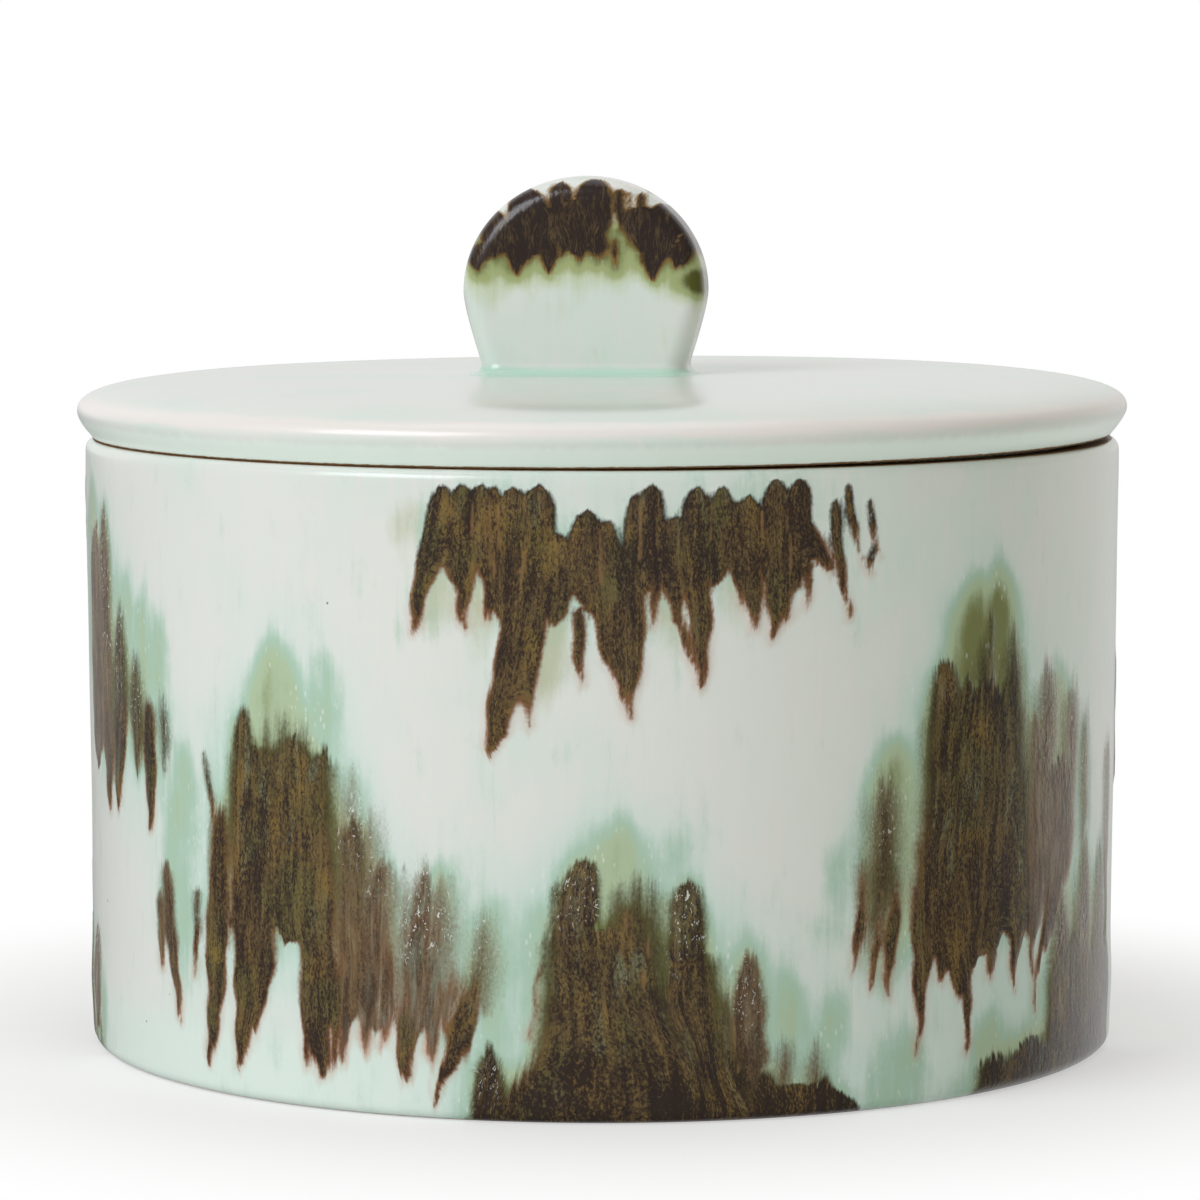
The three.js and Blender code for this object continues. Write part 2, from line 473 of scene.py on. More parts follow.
UNDER_RIM = Patch(
    0.25, 0.15,
    Run(-16.5, 98.5, -20.0, 75.5, 2.2), Run(-14.5, 99.0, -14.0, 76.5, 2.1),
    Run(-12.5, 99.0, -11.5, 78.0, 1.9),
    Lobe(-9.0, 98.5, -8.5, 84.0, 3.3), Run(-6.5, 99.0, -8.0, 65.0, 2.9),
    Lobe(-1.5, 95.0, -1.5, 80.0, 3.2),
    Lobe(0.5, 93.5, 0.5, 82.0, 1.8), Lobe(3.4, 97.5, 3.0, 84.0, 1.6), Lobe(5.0, 99.0, 4.5, 84.0, 2.2),
    Lobe(9.6, 98.5, 9.0, 84.0, 2.6), Lobe(12.2, 98.5, 11.5, 83.0, 1.9), Lobe(15.0, 97.0, 15.0, 82.0, 2.6),
    Lobe(18.0, 99.5, 18.0, 80.0, 2.6), Lobe(20.6, 99.5, 20.0, 82.0, 2.2),
    Run(24.5, 96.0, 26.0, 77.5, 1.1, 0.9),
    Run(26.0, 98.5, 27.5, 85.5, 0.8, 0.9), Run(28.5, 96.0, 29.5, 87.0, 0.7, 0.9),
    Run(29.0, 88.5, 28.5, 84.0, 0.6),
    Body(-15.0, 96.0, -15.0, 83.0, 3.4), Body(-8.5, 96.0, -8.5, 75.0, 4.8),
    Body(-0.5, 92.0, 0.0, 78.0, 4.8),
    Body(-4.6, 91.5, -4.6, 77.0, 2.6), Body(7.3, 94.0, 7.3, 80.0, 2.6),
    Lobe(-11.1, 98.8, -11.0, 84.0, 1.4),
    Body(13.6, 96.0, 13.6, 84.0, 2.0),
    Body(4.0, 93.0, 4.0, 82.0, 3.4), Body(11.0, 95.0, 11.5, 84.0, 4.8), Body(18.5, 96.0, 18.5, 85.0, 4.4),
    Leg(-7.5, 84.0, -11.5, 57.0, 3.5), Leg(-8.0, 74.0, -7.6, 61.5, 1.2), Leg(-2.5, 80.0, -2.0, 68.0, 1.1),
    Leg(0.8, 84.0, 2.0, 66.0, 2.8), Leg(3.2, 90.0, 3.0, 63.0, 1.9), Leg(5.5, 88.0, 5.0, 77.0, 0.9),
    Leg(6.5, 89.0, 7.5, 78.0, 1.5), Leg(7.5, 79.5, 9.5, 71.0, 0.7), Leg(9.3, 92.0, 10.5, 67.5, 2.1),
    Leg(14.0, 86.5, 14.5, 80.0, 0.8), Leg(15.5, 88.0, 15.5, 76.0, 1.6), Leg(18.0, 88.0, 18.0, 74.5, 1.8),
    Leg(19.0, 88.0, 19.0, 77.5, 1.4), Leg(20.5, 94.0, 24.0, 84.5, 2.3), Leg(21.5, 87.0, 21.5, 79.5, 0.8),
)

LOW_LEFT = Patch(
    1.3, 0.1,
    Flame(-37.6, 60.0, -37.8, 46.0, 1.4), Flame(-35.4, 61.5, -35.6, 44.0, 1.6),
    Flame(-32.6, 60.5, -32.6, 46.0, 1.6),
    Mass(-39.0, 57.0, -39.5, 24.0, 6.0), Mass(-34.0, 58.0, -34.5, 26.0, 6.5),
    Mass(-31.0, 56.5, -31.0, 25.0, 3.6),
    Leg(-44.4, 46.0, -46.4, 4.8, 2.8), Leg(-40.0, 34.0, -41.6, 4.8, 3.4),
    Leg(-37.6, 30.0, -40.0, 10.0, 2.4),
    Leg(-31.4, 36.0, -30.6, 4.6, 3.6), Leg(-32.6, 22.0, -32.6, 6.3, 1.3),
    Leg(-29.0, 24.0, -29.2, 7.5, 1.2),
)

LOW_LEFT_CRISP = Patch(
    0.5, 0.15,
    Flame(-40.8, 63.0, -41.0, 40.0, 3.2), Run(-47.0, 54.5, -44.6, 41.0, 0.9),
    Run(-48.4, 33.0, -49.4, 18.5, 1.0),
    Run(-54.2, 36.0, -51.8, 10.5, 1.8, 0.7), Run(-55.6, 31.0, -55.6, 18.5, 1.4, 0.7),
)

LOW_LEFT_THIN = Patch(
    2.0, 0.6,
    Mass(-26.8, 46.0, -26.8, 14.0, 4.0, 0.72), Mass(-24.0, 40.0, -24.2, 14.0, 4.0, 0.6),
    Flame(-27.4, 52.0, -27.0, 30.0, 1.4, 0.5),
    Flame(-24.6, 47.5, -24.6, 28.0, 1.2, 0.4), Leg(-27.6, 24.0, -27.8, 8.5, 1.3, 0.6),
    Leg(-25.2, 24.0, -25.5, 10.0, 1.4, 0.5),
    Leg(-23.0, 22.0, -23.2, 11.0, 1.3, 0.5), Lobe(-18.4, 38.5, -19.4, 14.0, 4.8, 0.45),
    Mass(-18.6, 33.0, -19.4, 13.0, 4.8, 0.55),
    Leg(-19.6, 26.0, -20.9, 5.8, 2.6, 0.8), Leg(-17.2, 24.0, -18.4, 9.5, 1.4, 0.5),
    Leg(-15.4, 24.0, -16.4, 14.0, 1.2, 0.5),
    Flame(-12.2, 31.0, -13.2, 16.0, 2.0, 0.7), Leg(-12.8, 25.0, -17.6, 3.4, 2.3, 0.9),
)

LOW_MIDDLE = Patch(
    1.1, 0.15,
    Flame(1.6, 37.5, 1.6, 18.0, 1.6), Flame(3.6, 39.0, 3.4, 18.0, 1.8), Flame(5.2, 37.0, 4.8, 18.0, 1.3),
    Mass(3.0, 33.5, 2.6, 16.0, 3.6), Bell(-0.2, 30.5, 3.4, -12.0, 8.6), Mass(9.6, 27.0, 13.0, -12.0, 3.8),
    Flame(12.6, 20.0, 12.8, -2.0, 2.6, 0.8),
    Body(13.4, 13.0, 14.0, -8.0, 4.0, 0.9), Flame(19.2, 12.5, 19.0, -2.0, 1.5, 0.7),
    Flame(22.6, 11.5, 22.4, -2.0, 1.5, 0.7),
)

LOW_MIDDLE_CRISP = Patch(
    0.5, 0.45,
    Lobe(-1.9, 41.6, -4.0, 22.0, 3.5), Run(-4.8, 37.5, -7.8, 13.0, 0.6), Lobe(8.7, 38.0, 8.2, 12.0, 3.2),
    Flame(15.2, 27.0, 15.4, 4.0, 3.0, 0.65), Flame(-11.8, 12.5, -11.8, -6.0, 3.2, 0.9),
)

LOW_MIDDLE_FOOT = Patch(
    0.35, 0.1,
    Mass(20.6, 5.2, 20.6, -12.0, 12.5), Body(17.0, 7.4, 17.0, -8.0, 2.6),
    Body(23.6, 6.2, 23.6, -8.0, 2.4),
)

RIGHT_CRISP = Patch(
    0.7, 0.2,
    Lobe(38.6, 70.0, 38.2, 40.0, 3.6), Run(45.2, 76.5, 45.6, 60.0, 0.7),
)

RIGHT = Patch(
    1.5, 0.1,
    Flame(44.0, 72.5, 44.0, 48.0, 2.6),
    Flame(49.0, 74.0, 49.3, 46.0, 3.2), Mass(43.8, 66.0, 41.6, 21.5, 12.0),
    Mass(49.6, 52.0, 50.4, 22.5, 4.6), Leg(35.9, 38.0, 35.4, 15.0, 2.6),
    Leg(35.4, 26.0, 35.2, 8.0, 0.9), Leg(41.0, 34.0, 41.8, 14.5, 3.6), Leg(41.8, 21.0, 42.0, 6.5, 1.1),
    Leg(38.4, 30.0, 38.4, 18.5, 1.8), Leg(45.6, 32.0, 46.0, 18.0, 1.8), Leg(49.3, 38.0, 50.0, 16.5, 1.8),
    Leg(52.6, 42.0, 53.6, 12.0, 0.9),
)

RIGHT_THIN = Patch(
    2.0, 0.4,
    Lobe(56.0, 67.0, 55.0, 32.0, 3.6, 0.55), Lobe(61.6, 63.0, 60.0, 32.0, 3.6, 0.55),
    Mass(53.6, 60.0, 53.4, 24.0, 3.2, 0.6), Flame(65.6, 58.0, 65.6, 36.0, 2.0, 0.7),
    Mass(58.5, 52.0, 57.5, 30.0, 7.0, 0.6), Leg(60.0, 44.0, 54.5, 18.0, 3.2, 0.7),
    Lobe(30.8, 51.5, 29.8, 26.0, 3.2, 0.75), Leg(32.0, 40.0, 31.3, 17.5, 1.6, 0.9),
    Leg(28.4, 40.0, 27.2, 22.0, 1.4, 0.8),
    Leg(30.2, 38.0, 29.5, 20.0, 1.4, 0.9), Flame(59.5, 32.0, 60.0, 4.0, 4.5, 0.7),
    Flame(66.0, 38.0, 65.0, 4.0, 4.5, 0.7), Flame(72.0, 36.0, 71.0, 4.0, 4.5, 0.7),
    Run(75.5, 52.0, 75.5, 19.0, 2.8, 0.5),
)

RIGHT_FOOT = Patch(
    1.0, 0.2,
    Mass(46.6, 6.5, 46.0, -10.0, 4.5), Mass(53.0, 7.5, 52.0, -10.0, 8.0),
    Mass(63.0, 22.0, 62.0, -12.0, 10.0, 0.82),
    Mass(73.0, 20.0, 72.0, -12.0, 8.0, 0.82), Mass(68.0, 8.0, 68.0, -12.0, 18.0),
)

LEFT_EDGE = Patch(
    1.0, 0.5,
    Body(-74.0, 88.0, -74.5, 48.0, 5.0, 0.6), Flame(-70.0, 92.0, -69.0, 46.0, 3.5, 0.7),
    Leg(-69.5, 60.0, -69.0, 41.0, 2.6, 0.8),
    Flame(-64.5, 76.0, -66.0, 50.0, 3.4), Leg(-64.5, 64.0, -66.5, 42.0, 3.0),
    Flame(-60.5, 69.0, -60.5, 49.5, 2.8),
    Leg(-57.5, 62.0, -57.5, 40.0, 2.3), Flame(-54.5, 62.5, -54.0, 50.0, 1.5),
    Run(-77.0, 21.0, -77.0, 3.5, 4.4, 0.5),
)


class Halo:
    """A soft dome of green in the pale glaze, above or beside a patch of runs."""

    def __init__(self, angle, top, tip_angle, tip, half, strength):
        self.shape = Dome(angle, top, tip_angle, tip, half)
        self.strength = strength


class Glow(Halo):
    """A fainter, yellower green between the runs."""


RIM_HALOS = [
    Glow(-20.5, 97.5, -20.5, 85.0, 3.0, 0.6), Glow(-17.0, 88.0, -17.0, 77.0, 2.2, 1.0),
    Glow(-12.6, 86.0, -12.6, 73.0, 2.0, 1.0), Glow(-5.0, 82.0, -6.2, 64.0, 2.2, 1.0),
    Glow(7.6, 86.0, 7.2, 74.0, 2.2, 0.9), Glow(13.6, 88.0, 13.6, 76.0, 2.0, 0.8),
]

LEFT_HALOS = [
    Halo(-36.5, 74.0, -36.5, 30.0, 8.0, 0.85), Halo(-30.0, 72.5, -30.0, 30.0, 2.4, 0.7),
    Halo(-27.5, 56.0, -27.5, 20.0, 3.4, 0.5), Halo(-51.0, 56.5, -52.5, 15.0, 5.0, 0.6),
    Halo(-17.0, 41.0, -17.0, 10.0, 6.6, 0.6), Halo(-11.5, 35.0, -11.5, 0.0, 4.0, 0.6),
]

MIDDLE_HALOS = [
    Halo(1.6, 48.0, 1.6, 15.0, 7.0, 0.85), Halo(7.5, 48.0, 7.5, 20.0, 2.4, 0.5),
    Halo(-5.5, 36.0, -7.5, 0.0, 3.4, 0.7), Halo(15.0, 29.5, 15.0, 0.0, 4.0, 0.8),
    Halo(19.3, 25.0, 19.3, 0.0, 3.4, 0.75), Halo(25.0, 20.0, 22.0, 0.0, 2.8, 0.7),
]

RIGHT_HALOS = [
    Halo(43.0, 82.5, 42.0, 40.0, 6.5, 1.3), Halo(46.5, 84.5, 47.0, 40.0, 4.8, 1.3),
    Halo(58.0, 68.5, 59.0, 25.0, 7.2, 0.8), Halo(32.0, 59.0, 31.5, 20.0, 5.4, 1.0),
    Halo(62.0, 35.0, 55.0, 5.0, 6.0, 0.7), Halo(26.0, 44.5, 25.0, 25.0, 3.0, 0.45),
    Halo(46.0, 14.0, 45.0, -6.0, 7.0, 0.75), Halo(33.0, 14.0, 32.0, -6.0, 8.0, 0.55),
]

EDGE_HALOS = [
    Halo(-76.0, 96.5, -76.5, 60.0, 6.0, 0.7), Halo(-66.0, 81.5, -66.5, 50.0, 2.6, 0.75),
    Halo(-63.0, 81.5, -63.0, 50.0, 2.4, 0.75), Halo(-59.0, 79.0, -59.0, 48.0, 3.2, 0.7),
    Halo(-55.5, 76.0, -56.0, 46.0, 3.0, 0.7),
]


class Group:
    """Patches with their green domes, which can be set again elsewhere on the wall."""

    def __init__(self, patches, halos):
        self.patches = patches
        self.halos = halos

    def elsewhere(self, turn, lift, flip):
        """The same group turned round the jar, raised, and mirrored where flip is -1."""
        def place(run):
            tip_place = flip * run.tip_place + turn
            return flip * run.place + turn, run.top + lift, tip_place, run.tip + lift, run.half
        patches = []
        for patch in self.patches:
            runs = [type(run)(*place(run), run.rich) for run in patch.runs]
            patches.append(Patch(patch.soft, patch.milk, *runs))
        halos = [type(halo)(*place(halo.shape), halo.strength) for halo in self.halos]
        return Group(patches, halos)


RIM_GROUP = Group([UNDER_RIM], RIM_HALOS)
LEFT_GROUP = Group([LOW_LEFT, LOW_LEFT_CRISP, LOW_LEFT_THIN], LEFT_HALOS)
MIDDLE_GROUP = Group([LOW_MIDDLE, LOW_MIDDLE_CRISP, LOW_MIDDLE_FOOT], MIDDLE_HALOS)
RIGHT_GROUP = Group([RIGHT, RIGHT_CRISP, RIGHT_THIN, RIGHT_FOOT], RIGHT_HALOS)
EDGE_GROUP = Group([LEFT_EDGE], EDGE_HALOS)

# The sides that the photograph doesn't show carry the same kinds of runs, turned, raised and mirrored
GROUPS = [
    RIM_GROUP, LEFT_GROUP, MIDDLE_GROUP, RIGHT_GROUP, EDGE_GROUP,
    RIM_GROUP.elsewhere(163, 0.0, -1),
    RIM_GROUP.elsewhere(-116, 0.0, 1),
    LEFT_GROUP.elsewhere(98, 6.0, -1),
    MIDDLE_GROUP.elsewhere(-172, 0.0, -1),
    RIGHT_GROUP.elsewhere(-72, -2.0, -1),
    EDGE_GROUP.elsewhere(30, 3.0, -1),
    MIDDLE_GROUP.elsewhere(-98, -6.0, 1),
]
PATCHES = [patch for group in GROUPS for patch in group.patches]
HALOS = [halo for group in GROUPS for halo in group.halos if not isinstance(halo, Glow)]
GLOWS = [halo for group in GROUPS for halo in group.halos if isinstance(halo, Glow)]


def wrapped(degrees):
    return (degrees + 180) % 360 - 180


def wall_gap(angle):
    """Distance in millimetres along the wall from a run's middle to each point."""
    return lambda middle: wrapped(angle - middle) * DEGREE_MM


def unevenness(turn):
    """How much higher or lower the glaze stands from place to place along the wall, about -1 to 1."""
    return 0.5 * np.sin(101 * turn + 1.0) + 0.35 * np.sin(185 * turn + 2.3) + 0.25 * np.sin(283 * turn + 0.7)


def run_fields(gap, height, patches):
    """Fields of the dark glaze at points of the wall or the knob, blended where runs flow together."""
    names = ("fall", "rich", "soft", "milk")
    sums = dict.fromkeys(names, 0.0)
    total = 0.0
    slip = 0.0
    shallow = 0.0
    first = np.full(height.shape, FAR)
    second = first
    for patch in patches:
        level = height + RAGGED * max(patch.soft - CRISP, 0) * unevenness(gap(0.0) / RIM_RADIUS)
        for run in patch.runs:
            across = gap(run.middle(level))
            depth = np.maximum(run.depth(across, level), FAR)
            weight = np.exp(depth / FLOW_TOGETHER)
            fall = run.fall(level)
            soft = MIN_SOFT + (patch.soft - MIN_SOFT) * (1 - ramp(fall, 0.3, 0.75))
            milk = patch.milk * (1 - ramp(fall, 0.15, 0.6))
            total = total + weight
            if run.START == 0:
                second = np.maximum(second, np.minimum(first, depth))
                first = np.maximum(first, depth)
            fan = across * np.clip(run.half / run.width(level).clip(0.1), 0.6, 2.4)
            for name, trait in zip(names, (fall, run.rich, soft, milk)):
                sums[name] = sums[name] + weight * trait
            pull = np.exp(np.minimum(depth, SHALLOW) / FLOW_TOGETHER)
            slip = slip + pull * (gap(run.place) - fan)
            shallow = shallow + pull
    fields = {name: values / total for name, values in sums.items()}
    fields["depth"] = FLOW_TOGETHER * np.log(total)
    fields["slip"] = slip / shallow * ramp(fields["depth"], -2.0, 0.3)
    meeting = ramp(second, -0.3, 0.4) * (1 - ramp(second, 1.0, 2.6))
    fields["seam"] = meeting * np.exp(-((first - second) / 0.9) ** 2)
    return fields


def rise(gap, height, patches):
    """How fast the depth grows going up: below 0 at the tops of the runs, above 0 at their tips."""
    above = run_fields(gap, height + 0.5, patches)["depth"]
    below = run_fields(gap, height - 0.5, patches)["depth"]
    return above - below


def ramp(values, low, high):
    """Smooth step from 0 at low to 1 at high."""
    t = np.clip((values - low) / (high - low), 0, 1)
    return t * t * (3 - 2 * t)


def halo_field(angle, height, halos):
    """How green the domes make the pale glaze, from 0 to about 1."""
    field = np.zeros_like(height)
    for halo in halos:
        across = wrapped(angle - halo.shape.middle(height)) * DEGREE_MM
        depth = halo.shape.depth(across, height)
        along = halo.shape.along(height)
        fade = 1.2 - 0.6 * along
        field = np.maximum(field, halo.strength * fade * ramp(depth, -3.0 - 2.0 * along, 4.0))
    return field


def smoothed(values, heights, across, along):
    """A field of the wall spread sideways and up and down, in millimetres."""
    waves = np.fft.rfftfreq(COLUMNS) * COLUMNS / RIM_RADIUS
    spread = np.fft.rfft(values, axis=1) * np.exp(-0.5 * (across * waves) ** 2)
    kernel = np.exp(-0.5 * ((heights[:, None] - heights) / along) ** 2)
    kernel /= kernel.sum(axis=1)[:, None]
    return kernel @ np.fft.irfft(spread, COLUMNS, axis=1)


def waviness(angle, height):
    """Slow unevenness of a hand-made surface, about -1 to 1."""
    turn = np.radians(angle)
    waves = np.sin(2 * turn + 0.05 * height) + 0.7 * np.sin(3 * turn + 1.3 - 0.09 * height)
    waves += 0.5 * np.sin(7 * turn + 0.21 * height + 0.4) + 0.4 * np.sin(0.19 * height + 2.1)
    return waves / 2.6


# Jar

def jar_fields(section, outside):
    """Glaze fields for each ring and column of the jar; the dark glaze is on the outside only."""
    rows = len(section) - 2
    shape = (rows, COLUMNS)
    angle = np.broadcast_to(wrapped(azimuths() - PHOTO_TURN), shape)
    height = np.broadcast_to(section[1:-1, 1:], shape)
    gap = wall_gap(angle.ravel())
    fields = run_fields(gap, height.ravel(), PATCHES)
    fields["rise"] = rise(gap, height.ravel(), PATCHES)
    fields["green"] = halo_field(angle.ravel(), height.ravel(), HALOS)
    fields["lime"] = halo_field(angle.ravel(), height.ravel(), GLOWS)
    fields = {name: values.reshape(shape) for name, values in fields.items()}
    away = np.ones(shape)
    away[outside] = 0
    fields["depth"] -= UNGLAZED * away
    fields["outside"] = 1 - away
    fields["angle"] = angle
    fields["height"] = height
    fields["slip"][outside] = smoothed(fields["slip"][outside], section[1:-1, 1][outside], 1.5, 2.0)
    add_haze(fields, outside)
    return fields


def add_haze(fields, outside):
    """Green that bleeds out of the tops of the dark runs, and a wide faint wash round everything."""
    heights = fields["height"][outside, 0]
    iron = ramp(fields["depth"][outside], -0.5, 1.5)
    young = 1 - 0.8 * ramp(fields["fall"][outside], 0.35, 0.85)
    eager = 0.35 + 0.65 * ramp(fields["soft"][outside], 0.25, 0.5)
    full = ramp(fields["rich"][outside], 0.3, 0.9)
    bleed = 1.8 * smoothed(iron * young * eager * full, heights, 1.8, 3.5)
    domes = smoothed(fields["green"][outside], heights, 1.1, 2.0)
    green = np.maximum(domes, bleed)
    wash = smoothed(np.maximum(green, 0.6 * iron), heights, 6.0, 9.0)
    lime = smoothed(fields["lime"][outside], heights, 1.1, 2.0)
    for name, values in (("green", green), ("wash", wash), ("lime", lime)):
        fields[name] = np.zeros_like(fields["depth"])
        fields[name][outside] = values


def jar_relief(fields):
    """Thickness of the glaze and unevenness of the clay, in millimetres out from the section."""
    depth = fields["depth"]
    height = fields["height"]
    body = GLAZE_THICK * ramp(depth, -0.5, 1.4) * ramp(height, 0.5, 3.0)
    at_tip = ramp(fields["fall"], 0.75, 0.98)
    bead = BEAD_THICK * ramp(depth, -0.3, 0.8) * at_tip * ramp(height, 0.5, 3.0)
    foot_roll = FOOT_ROLL * np.exp(-((height - FOOT_ROLL_HEIGHT) / 5) ** 2) * ramp(height, 0.5, 3.0)
    inner = ramp(height, 3, 12) * ramp(JAR_HEIGHT - height, 1, 6)
    clay = CLAY_WAVE * waviness(fields["angle"], height) * inner
    return body + bead + (foot_roll + clay) * fields["outside"]


def bare_clay_mask(points):
    """1 on the flat of the rim and under the foot ring, where the clay is left bare."""
    radius = np.hypot(points[:, 0], points[:, 1])
    height = points[:, 2]
    rim = ramp(height, JAR_HEIGHT - 0.2, JAR_HEIGHT - 0.05)
    foot = 1 - ramp(height, 0.05, 0.3)
    return np.maximum(rim, foot * (radius > 60))


def flow_places(place, slip, height):
    """Pattern places that follow the flow: millimetres along the wall as before it ran, and height."""
    return np.stack([place - slip, 0 * place, height], 1)


# Glaze fields that the jar's material reads
GLAZE_FIELDS = ("depth", "rise", "fall", "rich", "soft", "milk", "green", "wash", "lime", "seam")


def make_jar():
    """The jar as one turned mesh with its glaze fields."""
    under, wall, rim, inside = jar_section()
    section = np.vstack([under, wall, rim, inside])
    outside = slice(len(under) - 1, len(under) + len(wall) - 1)
    fields = jar_fields(section, outside)
    points = turned_points(section, jar_relief(fields))
    rings = len(section) - 2
    piece = mesh_piece("jar_glazed", points, turned_faces(rings))
    values = {name: with_centres(values) for name, values in fields.items()}
    values["depth"][-2:] = -UNGLAZED
    pool = (1 - ramp(points[:, 2], 5, 17)) * values["outside"]
    kept = {name: values[name] for name in GLAZE_FIELDS}
    flow = flow_places(values["angle"] * DEGREE_MM, values["slip"], points[:, 2])
    paint(piece, grain=points, flow=flow, bare=bare_clay_mask(points), pool=pool, **kept)
    reach = [len(under) - 1, len(section) - len(inside) - 1]
    lay_out(piece, section, [disc(0.105, 0.89, 0.1)] + [strips()] + [disc(0.32, 0.89, 0.1)], reach)
    return piece


def with_centres(values):
    """Ring values followed by values for the two centres."""
    return np.append(values.ravel(), [0, 0])


# Lid

def lid_tilt(points):
    """The fired lid is a little warped: it sits down at one side and stands off the rim at the other."""
    turn = math.radians(PHOTO_TURN)
    aside = points[:, 0] * math.cos(turn) + points[:, 1] * math.sin(turn)
    lifted = points.copy()
    lifted[:, 2] += LID_WARP * np.clip((aside + LID_RADIUS) / (2 * LID_RADIUS), 0, 1) ** 2
    return lifted


def base_distance(points):
    """Distance in millimetres outside the knob's base, seen from above."""
    past_x = np.abs(points[:, 0] - KNOB_X) - (KNOB_WAIST - KNOB_EDGE)
    past_y = np.abs(points[:, 1]) - (KNOB_THICK - KNOB_EDGE)
    corner = np.hypot(np.maximum(past_x, 0), np.maximum(past_y, 0))
    return corner + np.minimum(np.maximum(past_x, past_y), 0) - KNOB_EDGE


def make_lid():
    """The lid as one turned mesh, warped, with its glaze fields."""
    under, top = lid_section()
    section = np.vstack([under, top])
    rows = len(section) - 2
    angle = np.broadcast_to(azimuths(), (rows, COLUMNS))
    radius = np.broadcast_to(section[1:-1, :1], (rows, COLUMNS))
    on_top = np.zeros((rows, COLUMNS))
    on_top[len(under) + 2:] = 1
    clay = LID_WAVE * waviness(angle, radius) * on_top * ramp(radius, 28, 45)
    points = turned_points(section, clay)
    height = points[:, 2] - JAR_HEIGHT
    away = np.hypot(points[:, 0], points[:, 1])
    outer = ramp(away, SEAT_RADIUS - 1, SEAT_RADIUS + 0.5)
    edge = np.exp(-((height - 6.0) / 1.5) ** 2) * outer
    # The bevel's mint is pooled glaze, made lighter in colour as painted light from below
    bevel = (1 - ramp(height, 2.0, 4.6)) * outer
    is_top = np.append(on_top.ravel(), [0, 1])
    corner = np.exp(-np.maximum(base_distance(points), 0) / 2.2) * is_top
    seat = (np.abs(height) < 0.05) * (away > RING_OUTSIDE - 0.2) * (away < SEAT_RADIUS + 0.3)
    piece = mesh_piece("lid_glazed", lid_tilt(points), turned_faces(rows))
    paint(piece, grain=points, edge=edge, pool=bevel, corner=corner, bare=seat)
    lay_out(piece, section, [disc(0.86, 0.86, 0.13), disc(0.41, 0.41, 0.4)], [len(under) - 1])
    return piece


# Knob

def knob_outline():
    """Half outline from the lid up to the top: half width, height and the lean of its normal."""
    t = np.concatenate([0.3 * np.linspace(0, 1, 20)[:-1] ** 2, np.linspace(0.3, 1, 26)[:-1]])
    flank_x = (1 - t) ** 2 * KNOB_WAIST + (1 - (1 - t) ** 2) * KNOB_HALF
    flank_z = 2 * t * (1 - t) * KNOB_FLANK + t ** 2 * KNOB_WIDEST
    turn = np.linspace(0, math.pi / 2, 56)
    rise = KNOB_HEIGHT - KNOB_WIDEST
    crown_x = KNOB_HALF * np.cos(turn)
    crown_z = KNOB_WIDEST + rise * np.sin(turn)
    lean = np.arctan2(np.sin(turn) / rise, np.cos(turn) / KNOB_HALF)
    half = np.concatenate([flank_x, crown_x])
    height = np.concatenate([flank_z, crown_z])
    return half, height, np.concatenate([0 * t, lean])


def fillet(height):
    """How far the clay worked into the corner stands out at a height above the lid."""
    left = np.clip(KNOB_FILLET - height, 0, KNOB_FILLET)
    return KNOB_FILLET - np.sqrt(KNOB_FILLET ** 2 - left ** 2)


def knob_rim():
    """The rounded edge of the disc, from its front face over the edge to its back face."""
    half, height, lean = knob_outline()
    half = np.concatenate([-half, half[-2::-1]])
    height = np.concatenate([height, height[-2::-1]])
    side = np.sign(half + 1e-9)
    lean = np.concatenate([lean, lean[-2::-1]])
    turn = np.concatenate([np.linspace(0, 90, EDGE_ROWS), np.linspace(90, 180, EDGE_ROWS)])
    rows = []
    for index, angle in enumerate(np.radians(turn)):
        inset = KNOB_EDGE * (1 - math.sin(angle))
        front = -1 if index < EDGE_ROWS else 1
        depth = front * (KNOB_THICK - KNOB_EDGE) - KNOB_EDGE * math.cos(angle)
        out = fillet(height)
        x = half - side * inset * np.cos(lean) + side * out * math.sin(angle)
        z = height - inset * np.sin(lean)
        y = depth - out * math.cos(angle)
        rows.append(np.stack([x, y, z], 1))
    return np.array(rows)


def grid_faces(rows, columns, first, flip):
    """Quads of a grid whose points start at a given number."""
    faces = []
    for row in range(rows - 1):
        for column in range(columns - 1):
            a = first + row * columns + column
            quad = (a, a + 1, a + columns + 1, a + columns)
            faces.append(quad[::-1] if flip else quad)
    return faces


def knob_side(edge, front):
    """A flat side of the disc: rows across it at each height, slightly pillowed."""
    count = (len(edge) + 1) // 2
    across = np.linspace(0, 1, 61)
    rows = []
    for index in range(count):
        left = edge[index]
        right = edge[len(edge) - 1 - index]
        row = left + (right - left) * across[:, None]
        bulge = KNOB_PILLOW * (1 - (2 * across - 1) ** 2) * ramp(row[:, 2], 1.0, 6.0)
        reach = abs(right[0] - left[0]) / (2 * KNOB_HALF)
        row[:, 1] += front * bulge * reach
        rows.append(row)
    return np.array(rows)


def knob_mesh():
    """The disc as one closed mesh, standing on the lid."""
    rim = knob_rim()
    grids = [(rim, False), (knob_side(rim[0], -1), False), (knob_side(rim[-1], 1), True)]
    points = []
    faces = []
    for grid, flip in grids:
        faces += grid_faces(grid.shape[0], grid.shape[1], len(points), flip)
        points += grid.reshape(-1, 3).tolist()
    points = np.array(points) + np.array([KNOB_X, 0, LID_TOP])
    piece = mesh_piece("knob_glazed", lid_tilt(points), faces)
    close_mesh(piece)
    return piece


